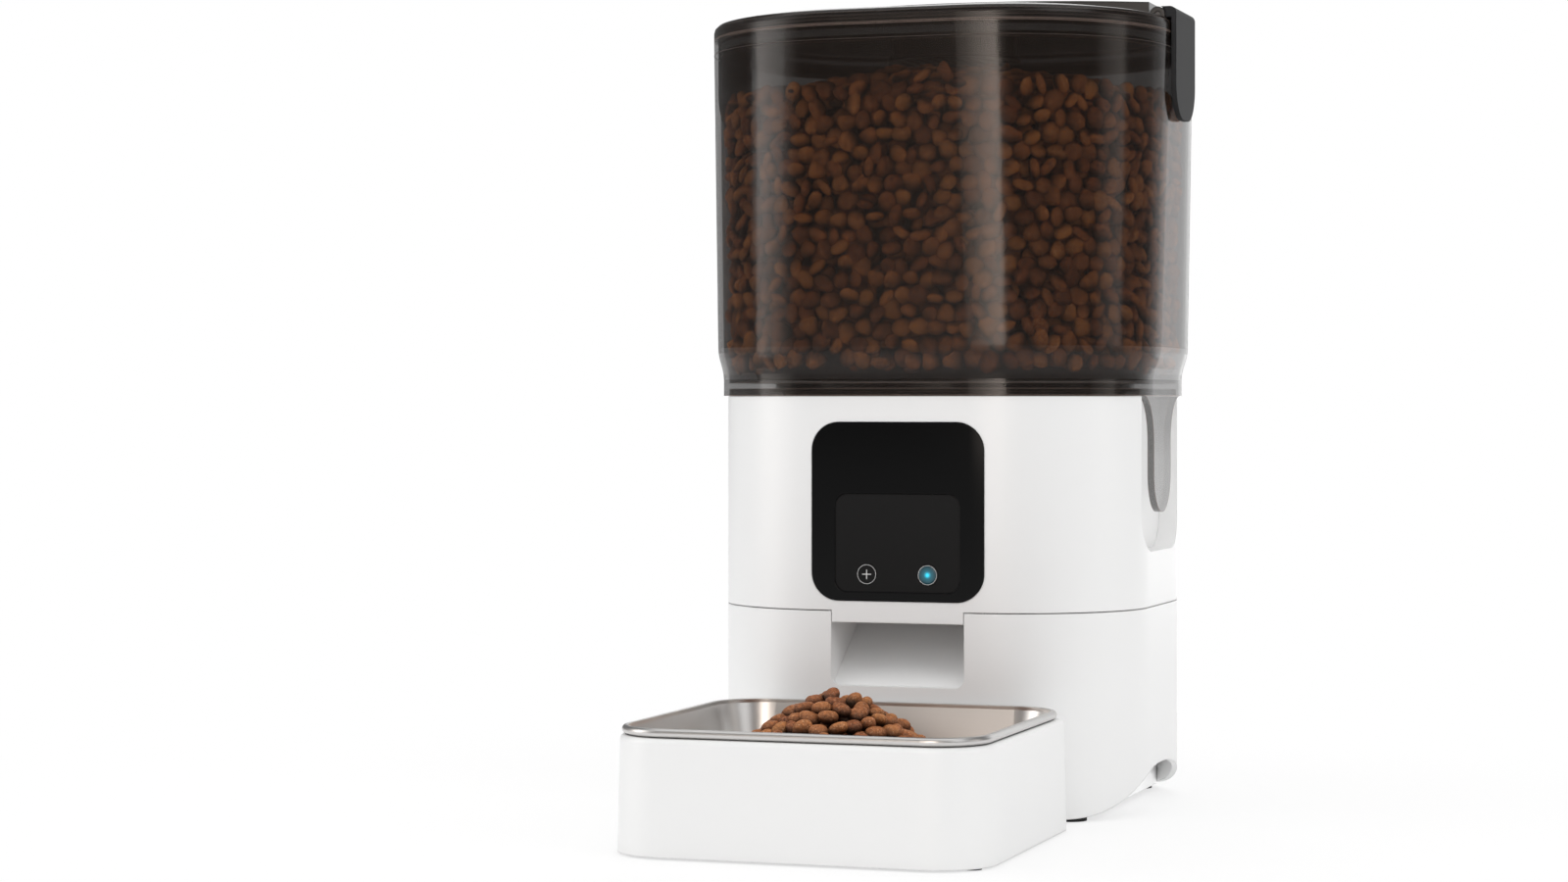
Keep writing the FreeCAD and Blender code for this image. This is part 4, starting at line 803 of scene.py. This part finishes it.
def core_mesh(settings, material):
    """Painted shade inside the food: a dark sheet that closes the gaps between the pieces that show.
    """
    steps = 120
    edge_deep = 9 * MM  # its rim under the level, and its middle over it
    middle_over = 4 * MM
    heights = np.linspace(TANK_LOW.z + CORE_FLOOR, settings.level - edge_deep, 12)
    vertices = []
    faces = []
    for height in heights:
        ring = tank_ring(height, CORE_INSET)
        for step in range(steps):
            (x, y), _ = along_ring(ring, step / steps)
            vertices.append((x, AXIS_Y + y, height))
    for row in range(len(heights) - 1):
        for step in range(steps):
            a = row * steps + step
            b = row * steps + (step + 1) % steps
            faces.append((a, b, b + steps, a + steps))
    faces.append(tuple(range(steps))[::-1])
    last = (len(heights) - 1) * steps
    vertices.append((0.0, AXIS_Y, settings.level + middle_over))
    faces += [(last + step, last + (step + 1) % steps, last + steps) for step in range(steps)]
    return mesh_object("food_shade_core", vertices, faces, material, "tank")


def heap_height(distance, settings, floor):
    """Side of the heap: rounded top, then a steady slope down to the bowl."""
    peak = settings.heap_top - settings.size * 0.6
    slope = (peak - floor) / settings.heap_r * 1.06
    return peak - slope * (math.sqrt(distance ** 2 + HEAP_SOFT ** 2) - HEAP_SOFT)


def clears_bowl(x, y, radius):
    """Whether a piece stays off the wall of the bowl, taken where the bowl is narrowest."""
    corner = BOWL_CORNER - BOWL_NARROW
    half_x = (BOWL_HIGH.x - BOWL_LOW.x) / 2 - BOWL_NARROW
    half_y = (BOWL_HIGH.y - BOWL_LOW.y) / 2 - BOWL_NARROW
    over_x = max(0.0, abs(x - (BOWL_LOW.x + BOWL_HIGH.x) / 2) - (half_x - corner))
    over_y = max(0.0, abs(y - (BOWL_LOW.y + BOWL_HIGH.y) / 2) - (half_y - corner))
    return math.hypot(over_x, over_y) < corner - radius * 1.2


def heap_places(settings, centre, floor, rng):
    """Pieces on and just under the side of the heap, dropped where there is still room.

    Each layer has its depth under the side, the least spacing in piece sizes and the tries.
    """
    places = []
    for depth, spacing, tries in ((0.0, 1.22, 14000), (4.5 * MM, 1.3, 9000)):
        layer = []
        for _ in range(tries):
            angle = rng.uniform(0, 2 * math.pi)
            distance = settings.heap_r * math.sqrt(rng.uniform(0, 1))
            x = centre[0] + distance * math.cos(angle) * 1.02
            y = centre[1] + distance * math.sin(angle)
            z = heap_height(distance, settings, floor) - depth + rng.uniform(-1.0, 1.0) * MM
            if z < floor + settings.size * 0.4:
                continue
            apart = (settings.size * spacing) ** 2
            if any((px - x) ** 2 + (py - y) ** 2 + (pz - z) ** 2 < apart for px, py, pz in layer):
                continue
            radius = settings.size * rng.uniform(0.78, 0.98)
            if not clears_bowl(x, y, radius):
                continue
            layer.append((x, y, z))
            normal = (math.cos(angle) * 0.5 * distance / settings.heap_r,
                      math.sin(angle) * 0.5 * distance / settings.heap_r, 1.0)
            places.append(((x, y, z), normal, 0.6, radius, z - floor, (0, 0, -1)))
    return places


def heap_core_mesh(settings, centre, floor, material, rings=14, steps=64):
    """Painted shade inside the heap: a dark sheet that closes the gaps between its pieces."""
    top = heap_height(0, settings, floor) - HEAP_CORE_DEEP
    vertices = [(centre[0], centre[1], top)]
    faces = []
    for ring in range(1, rings + 1):
        distance = settings.heap_r * 0.92 * ring / rings
        for step in range(steps):
            angle = 2 * math.pi * step / steps
            z = max(floor, heap_height(distance, settings, floor) - HEAP_CORE_DEEP)
            vertices.append((centre[0] + distance * math.cos(angle),
                             centre[1] + distance * math.sin(angle), z))
    for step in range(steps):
        faces.append((0, 1 + step, 1 + (step + 1) % steps))
    for ring in range(rings - 1):
        for step in range(steps):
            a = 1 + ring * steps + step
            b = 1 + ring * steps + (step + 1) % steps
            faces.append((a, a + steps, b + steps, b))
    faces.append(tuple(1 + (rings - 1) * steps + step for step in range(steps))[::-1])
    return mesh_object("food_heap_shade_core", vertices, faces, material, "bowl")


# ---- operators ---------------------------------------------------------------------------
class FEEDER_OT_housing(bpy.types.Operator):
    """Finish the white housing, chute, deck and base"""
    bl_idname = "feeder.housing"
    bl_label = "Housing"

    def execute(self, context):
        finishes = context.scene.feeder_finishes
        white = moulded("white_moulding", finishes.white, finishes.white_rough, drift=0.012,
                        grain=0.000006, grain_scale=1500.0, edge=0.0008, edge_lift=1.0)
        dress(white, "upper_housing", "lower_housing", "inner_deck")
        chute = moulded("chute_moulding", finishes.white, 0.42, drift=0.02, grain=0.00001,
                        grain_scale=1400.0, edge=0.0006, edge_lift=1.0)
        dress(chute, "food_chute")
        grey = moulded("grey_moulding", finishes.grey, 0.55, drift=0.08, grain=0.00002)
        pale = moulded("base_moulding", (0.86, 0.86, 0.86), 0.5, drift=0.04, grain=0.00001,
                       edge_lift=1.0)
        dress(pale, "base_plate")
        dress(grey, "battery_door", "battery_box", "gearbox_case", "gearbox_cover")
        rubber = moulded("foot_rubber", (0.022, 0.022, 0.023), 0.78, drift=0.3, grain=0.00004,
                         grain_scale=1700.0, edge_lift=2.2)
        dress(rubber, "rubber_feet", "tray_pads")
        socket = moulded("socket_black", (0.03, 0.03, 0.031), 0.5, drift=0.2, edge_lift=1.8)
        dress(socket, "power_socket", "speaker", "outlet_sensors")
        return {"FINISHED"}


class FEEDER_OT_panel(bpy.types.Operator):
    """Finish the front panel and its two keys, with their rings, plus and light"""
    bl_idname = "feeder.panel"
    bl_label = "Front panel and keys"

    def execute(self, context):
        keys = context.scene.feeder_keys
        # edge_lift=3.0 lightens the panel's edges: a painted highlight along them.
        gloss = moulded("panel_gloss", (0.0018, 0.0018, 0.0019), 0.10, drift=0.3, grain=0.0000015,
                        grain_scale=500.0, edge=0.0006, edge_lift=3.0, gloss_drift=0.05, shine=0.16)
        dress(gloss, "front_panel")
        # edge_lift=0.25 darkens the plate's edges: a painted shadow line in the groove round the
        # plate.
        plate = moulded("plate_dark", (0.0105, 0.0105, 0.0108), 0.34, drift=0.15, grain=0.000004,
                        grain_scale=1800.0, edge=0.0004, edge_lift=0.25, shine=0.10)
        dress(plate, "key_plate", "feed_key", "setup_key", "tact_switches")
        white_ink = moulded("mark_ink", (0.80, 0.80, 0.80), 0.5, drift=0.1, edge_lift=1.05)
        for node in ("feed_key", "setup_key"):
            low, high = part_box(node)
            centre = ((low.x + high.x) / 2, low.y, (low.z + high.z) / 2)
            flat_ring(node + "_ring", centre, keys.ring_r, keys.ring_r - keys.ring_w, keys.mark_h,
                      white_ink, node)
            if node == "feed_key":
                plus_mark(node + "_plus", centre, keys.plus_r, keys.plus_w, keys.mark_h, white_ink,
                          node)
            else:
                back = lit("key_backlight", (0.012, 0.13, 0.18), (0.004, 0.025, 0.034), 0.7, centre,
                           keys.ring_r)
                flat_disc(node + "_tint", centre, keys.ring_r - keys.ring_w * 1.1, keys.mark_h * 0.5,
                          back, node)
                front = (centre[0], centre[1] - keys.mark_h * 0.6, centre[2])
                glow = lit("key_light", (0.02, 0.60, 0.82), (0.012, 0.13, 0.18), 0.9, front,
                           keys.glow_r)
                flat_disc(node + "_light", front, keys.glow_r, keys.mark_h, glow, node)
        return {"FINISHED"}


class FEEDER_OT_tank(bpy.types.Operator):
    """Finish the smoked tank, its funnel and the portion rotor"""
    bl_idname = "feeder.tank"
    bl_label = "Tank and rotor"

    def execute(self, context):
        finishes = context.scene.feeder_finishes
        smoke = smoked("smoked_tank", finishes.smoke, finishes.smoke_face, finishes.smoke_edge,
                       rough=0.13)
        dress(smoke, "tank")
        # Painted highlight: the bead's light brown stands for the bright line under the lid's seam.
        bead = moulded("bead_painted_highlight", (0.12, 0.088, 0.075), 0.4, drift=0.1, edge_lift=1.0)
        rim_bead(bead, 6.4 * MM, 0.16 * MM)
        inner = smoked("smoked_inner", finishes.smoke, 0.62, 0.95, rough=0.2)
        dress(inner, "tank_funnel", "rotor_floor", "outlet_shield")
        soft = moulded("rotor_grey", (0.16, 0.16, 0.165), 0.6, drift=0.15, grain=0.00003)
        dress(soft, "rotor", "stirrer")
        return {"FINISHED"}


class FEEDER_OT_lid(bpy.types.Operator):
    """Finish the lid, its band, clips, seal and pins"""
    bl_idname = "feeder.lid"
    bl_label = "Lid"

    def execute(self, context):
        finishes = context.scene.feeder_finishes
        smoke = smoked("smoked_lid", finishes.smoke, 0.78, 0.95, rough=0.24, clear=0.62)
        dress(smoke, "lid")
        black = moulded("band_black", (0.010, 0.010, 0.0105), 0.28, drift=0.25, grain=0.000005,
                        edge=0.001, edge_lift=2.0)
        dress(black, "lid_band", "desiccant_tray", "desiccant_grille")
        clip = moulded("clip_grey", finishes.clip_grey, 0.5, shine=0.04, drift=0.12, grain=0.000008,
                       edge=0.0009, edge_lift=0.25)
        dress(clip, "lid_clip_right", "lid_clip_left")
        seal = moulded("seal_grey", (0.10, 0.10, 0.10), 0.7, drift=0.15, grain=0.00001)
        dress(seal, "lid_seal")
        pin = metal("pin_steel", (0.11, 0.11, 0.112), 0.42, streak=0.1, scale=1500.0)
        dress(pin, "clip_pins")
        return {"FINISHED"}


class FEEDER_OT_tray(bpy.types.Operator):
    """Finish the tray and the steel bowl"""
    bl_idname = "feeder.tray"
    bl_label = "Tray and bowl"

    def execute(self, context):
        finishes = context.scene.feeder_finishes
        white = moulded("tray_white", finishes.white, finishes.white_rough + 0.06, drift=0.012,
                        grain=0.000006, grain_scale=1500.0, edge=0.0010, edge_lift=1.0)
        dress(white, "bowl_tray")
        steel = metal("bowl_steel", finishes.steel, 0.33, streak=0.03, scale=2400.0, depth=0.0000006)
        dress(steel, "bowl")
        return {"FINISHED"}


class FEEDER_OT_inside(bpy.types.Operator):
    """Finish the drive, boards, cells and fasteners inside the housing"""
    bl_idname = "feeder.inside"
    bl_label = "Working parts"

    def execute(self, context):
        dress(moulded("gear_acetal", (0.72, 0.71, 0.66), 0.4, drift=0.05, grain=0.00001,
                      edge=0.0002),
              "drive_gear", "drive_shaft", "idler_gear", "motor_pinion")
        dress(metal("motor_can", (0.55, 0.55, 0.56), 0.32, streak=0.2, scale=700.0), "motor")
        dress(metal("zinc_plate", (0.62, 0.60, 0.55), 0.38, streak=0.15, scale=1500.0),
              "body_screws", "gearbox_screws", "idler_pin", "battery_contacts")
        dress(moulded("board_green", (0.015, 0.13, 0.05), 0.35, drift=0.3, grain=0.00003,
                      grain_scale=700.0, edge_lift=1.8), "control_board", "main_board")
        dress(moulded("cell_jacket", (0.10, 0.10, 0.11), 0.3, drift=0.2, edge_lift=2.0),
              "battery_cells")
        return {"FINISHED"}


class FEEDER_OT_fill_tank(bpy.types.Operator):
    """Fill the tank with dry food: two layers along the wall, two on top and a dark core of painted
    shade
    """
    bl_idname = "feeder.fill_tank"
    bl_label = "Food in the tank"

    def execute(self, context):
        food = context.scene.feeder_food
        rng = random.Random(food.seed)
        brown = biscuit("food_in_tank", food.tank_brown_painted_light, 0.8)
        # A near-black copy of the food's brown: painted shade inside the food.
        dark = biscuit("food_painted_shade", tuple(part * 0.05 for part in food.brown), 0.0)
        pitch = food.size * 1.72
        for index in range(2):
            low = 0.5 * index
            near = wall_places(food, 2.5 * MM + food.size * 0.95, pitch, rng, low, low + 0.5)
            far = wall_places(food, 2.5 * MM + food.size * 2.1, pitch * 1.1, rng, low, low + 0.5)
            gather(f"food_wall_{index + 1}", near + far, 2, brown, "tank", food.seed + index)
        gather("food_top", top_places(food, rng), 2, brown, "tank", food.seed + 5)
        core_mesh(food, dark)
        return {"FINISHED"}


class FEEDER_OT_fill_bowl(bpy.types.Operator):
    """Heap dry food in the bowl"""
    bl_idname = "feeder.fill_bowl"
    bl_label = "Food in the bowl"

    def execute(self, context):
        food = context.scene.feeder_food
        rng = random.Random(food.seed + 40)
        brown = biscuit("food_in_bowl", tuple(part * 1.05 for part in food.brown))
        # A dark copy of the food's brown: painted shade inside the heap.
        dark = biscuit("food_heap_painted_shade", tuple(part * 0.15 for part in food.brown), 0.0)
        centre = ((BOWL_LOW.x + BOWL_HIGH.x) / 2 - 5.5 * MM,
                  (BOWL_LOW.y + BOWL_HIGH.y) / 2 + 4.0 * MM)
        floor = BOWL_LOW.z + 0.9 * MM  # just over the steel
        places = heap_places(food, centre, floor, rng)
        gather("food_heap", places, 3, brown, "bowl", food.seed + 41, 0.74)
        heap_core_mesh(food, centre, floor, dark)
        return {"FINISHED"}


def lamp(name, size_x, size_y, power, place, aim, fade=None, mirrored_only=False):
    """Soft box. With fade it is dark at one side and bright at the other."""
    data = bpy.data.lights.new(name, "AREA")
    data.shape = "RECTANGLE"
    data.size = size_x
    data.size_y = size_y
    data.energy = power
    if fade:
        data.use_nodes = True
        tree = data.node_tree
        where = tree.nodes.new("ShaderNodeNewGeometry")
        split = tree.nodes.new("ShaderNodeSeparateXYZ")
        ramp = tree.nodes.new("ShaderNodeMapRange")
        ramp.inputs["To Min"].default_value = fade[0]
        ramp.inputs["To Max"].default_value = fade[1]
        tree.links.new(where.outputs["Parametric"], split.inputs["Vector"])
        tree.links.new(split.outputs["X"], ramp.inputs["Value"])
        tree.links.new(ramp.outputs["Result"], tree.nodes["Emission"].inputs["Strength"])
    obj = bpy.data.objects.new(name, data)
    obj.location = place
    obj.rotation_euler = (Vector(aim) - Vector(place)).to_track_quat("-Z", "Y").to_euler()
    obj.visible_diffuse = not mirrored_only
    bpy.context.scene.collection.objects.link(obj)
    return obj


def around(azimuth, distance, height):
    """Place at an azimuth in degrees round the tank's axis."""
    turn = math.radians(azimuth)
    return (distance * math.cos(turn), AXIS_Y + distance * math.sin(turn), height)


def seen_rays(tree):
    """1 for rays that the camera sees, 0 for the light that falls on things."""
    return tree.nodes.new("ShaderNodeLightPath").outputs["Is Camera Ray"]


def floor_material():
    """Pale floor that keeps the feeder's shadow and turns to plain white further out."""
    material, tree, shader = new_material("studio_floor")
    shader.inputs["Base Color"].default_value = (0.93, 0.93, 0.93, 1.0)
    shader.inputs["Roughness"].default_value = 0.9
    white = tree.nodes.new("ShaderNodeEmission")
    where = tree.nodes.new("ShaderNodeTexCoord")
    reach = tree.nodes.new("ShaderNodeVectorMath")
    reach.operation = "LENGTH"
    tree.links.new(where.outputs["Object"], reach.inputs[0])
    fade = tree.nodes.new("ShaderNodeMapRange")
    fade.interpolation_type = "SMOOTHSTEP"
    fade.inputs["From Min"].default_value = 0.16
    fade.inputs["From Max"].default_value = 0.50
    fade.inputs["To Min"].default_value = 0.70
    tree.links.new(reach.outputs["Value"], fade.inputs["Value"])
    share_white = tree.nodes.new("ShaderNodeMath")
    share_white.operation = "MULTIPLY"
    tree.links.new(fade.outputs["Result"], share_white.inputs[0])
    tree.links.new(seen_rays(tree), share_white.inputs[1])
    mix = tree.nodes.new("ShaderNodeMixShader")
    tree.links.new(share_white.outputs[0], mix.inputs["Fac"])
    tree.links.new(shader.outputs["BSDF"], mix.inputs[1])
    tree.links.new(white.outputs["Emission"], mix.inputs[2])
    tree.links.new(mix.outputs["Shader"], tree.nodes["Material Output"].inputs["Surface"])
    return material


class FEEDER_OT_stage(bpy.types.Operator):
    """Set the floor, the lamps, the white surroundings and the camera"""
    bl_idname = "feeder.stage"
    bl_label = "Studio"

    def execute(self, context):
        scene = context.scene
        stage = scene.feeder_stage
        half = 12.0  # of the floor's side
        corners = [(-half, -half, 0), (half, -half, 0), (half, half, 0), (-half, half, 0)]
        mesh = bpy.data.meshes.new("floor")
        mesh.from_pydata(corners, [], [(0, 1, 2, 3)])
        mesh.materials.append(floor_material())
        floor = bpy.data.objects.new("floor", mesh)
        scene.collection.objects.link(floor)
        aim = (0.0, 0.03, 0.17)
        lamp("key_lamp", 1.0, 1.4, stage.key_power, around(-156, 1.75, 0.95), aim)
        lamp("fill_lamp", 1.0, 1.0, stage.fill_power, around(-30, 1.75, 1.15), aim)
        low = lamp("low_lamp", 1.0, 0.3, stage.low_power, around(-40, 1.3, 0.10),
                   (0.09, AXIS_Y, 0.02))
        low.visible_glossy = False
        lit_part = bpy.data.collections.new("low_lamp_part")
        lit_part.objects.link(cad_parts["base_plate"])
        low.light_linking.receiver_collection = lit_part
        lamp("top_lamp", 2.2, 2.2, stage.top_power, (0.0, -0.1, 1.8), aim)
        lamp("back_lamp", 1.0, 1.0, stage.fill_power, (-0.4, 1.7, 1.1), aim)
        level = (0.0, AXIS_Y, 0.30)
        for name, wide, tall, share, place, fade, tint in (
                ("strip_left", 0.78, 0.9, 1.0, around(-148, 1.3, 0.36), (1.7, 0.0), WARM),
                ("strip_front", 0.78, 0.66, 1.35, around(-90.5, 1.55, 0.46), (0.0, 1.9), WARMER),
                ("strip_right", 0.54, 0.66, 0.26, around(1.0, 1.4, 0.46), (0.3, 1.6), WARM),
                ("strip_behind", 1.3, 0.9, 0.72, around(66, 1.5, 0.40), (0.1, 1.9), PLAIN)):
            strip = lamp(name, wide, tall, stage.strip_power * share, place, level, fade, True)
            strip.data.color = tint
        world = bpy.data.worlds.new("white_room")
        scene.world = world
        world.use_nodes = True
        tree = world.node_tree
        background = tree.nodes["Background"]
        background.inputs["Color"].default_value = (1.0, 1.0, 1.0, 1.0)
        strength = tree.nodes.new("ShaderNodeMapRange")
        path = tree.nodes.new("ShaderNodeLightPath")
        dim = tree.nodes.new("ShaderNodeMapRange")
        dim.inputs["To Min"].default_value = stage.ambient
        dim.inputs["To Max"].default_value = stage.mirrored
        tree.links.new(path.outputs["Is Glossy Ray"], dim.inputs["Value"])
        strength.inputs["To Max"].default_value = 1.0
        tree.links.new(path.outputs["Is Camera Ray"], strength.inputs["Value"])
        tree.links.new(dim.outputs["Result"], strength.inputs["To Min"])
        tree.links.new(strength.outputs["Result"], background.inputs["Strength"])
        data = bpy.data.cameras.new("camera")
        data.lens = stage.lens
        data.shift_y = stage.shift
        data.clip_start = 0.01
        data.clip_end = 60.0
        camera = bpy.data.objects.new("camera", data)
        camera.location = (stage.camera_x, stage.camera_y, stage.camera_z)
        camera.rotation_euler = (math.pi / 2, 0.0, stage.turn)
        scene.collection.objects.link(camera)
        scene.camera = camera
        scene.view_settings.view_transform = "Standard"
        scene.cycles.transparent_max_bounces = 24
        return {"FINISHED"}


class FEEDER_PT_panel(bpy.types.Panel):
    """Lists every step of the feeder's looks"""
    bl_label = "Pet feeder"
    bl_idname = "FEEDER_PT_panel"
    bl_space_type = "VIEW_3D"
    bl_region_type = "UI"
    bl_category = "Feeder"

    def draw(self, context):
        for step in STEPS:
            self.layout.operator(step.bl_idname)


STEPS = (
    FEEDER_OT_housing,
    FEEDER_OT_panel,
    FEEDER_OT_tank,
    FEEDER_OT_lid,
    FEEDER_OT_tray,
    FEEDER_OT_inside,
    FEEDER_OT_fill_tank,
    FEEDER_OT_fill_bowl,
    FEEDER_OT_stage,
)


def register():
    for name, settings in SETTINGS.items():
        bpy.utils.register_class(settings)
        setattr(bpy.types.Scene, name, bpy.props.PointerProperty(type=settings))
    for step in STEPS + (FEEDER_PT_panel,):
        bpy.utils.register_class(step)


def unregister():
    for step in reversed(STEPS + (FEEDER_PT_panel,)):
        bpy.utils.unregister_class(step)
    for name, settings in SETTINGS.items():
        delattr(bpy.types.Scene, name)
        bpy.utils.unregister_class(settings)


def main():
    register()
    bpy.ops.feeder.housing()
    bpy.ops.feeder.panel()
    bpy.ops.feeder.tank()
    bpy.ops.feeder.lid()
    bpy.ops.feeder.tray()
    bpy.ops.feeder.inside()
    bpy.ops.feeder.fill_tank()
    bpy.ops.feeder.fill_bowl()
    bpy.ops.feeder.stage()


if __name__ == "__main__":
    main()
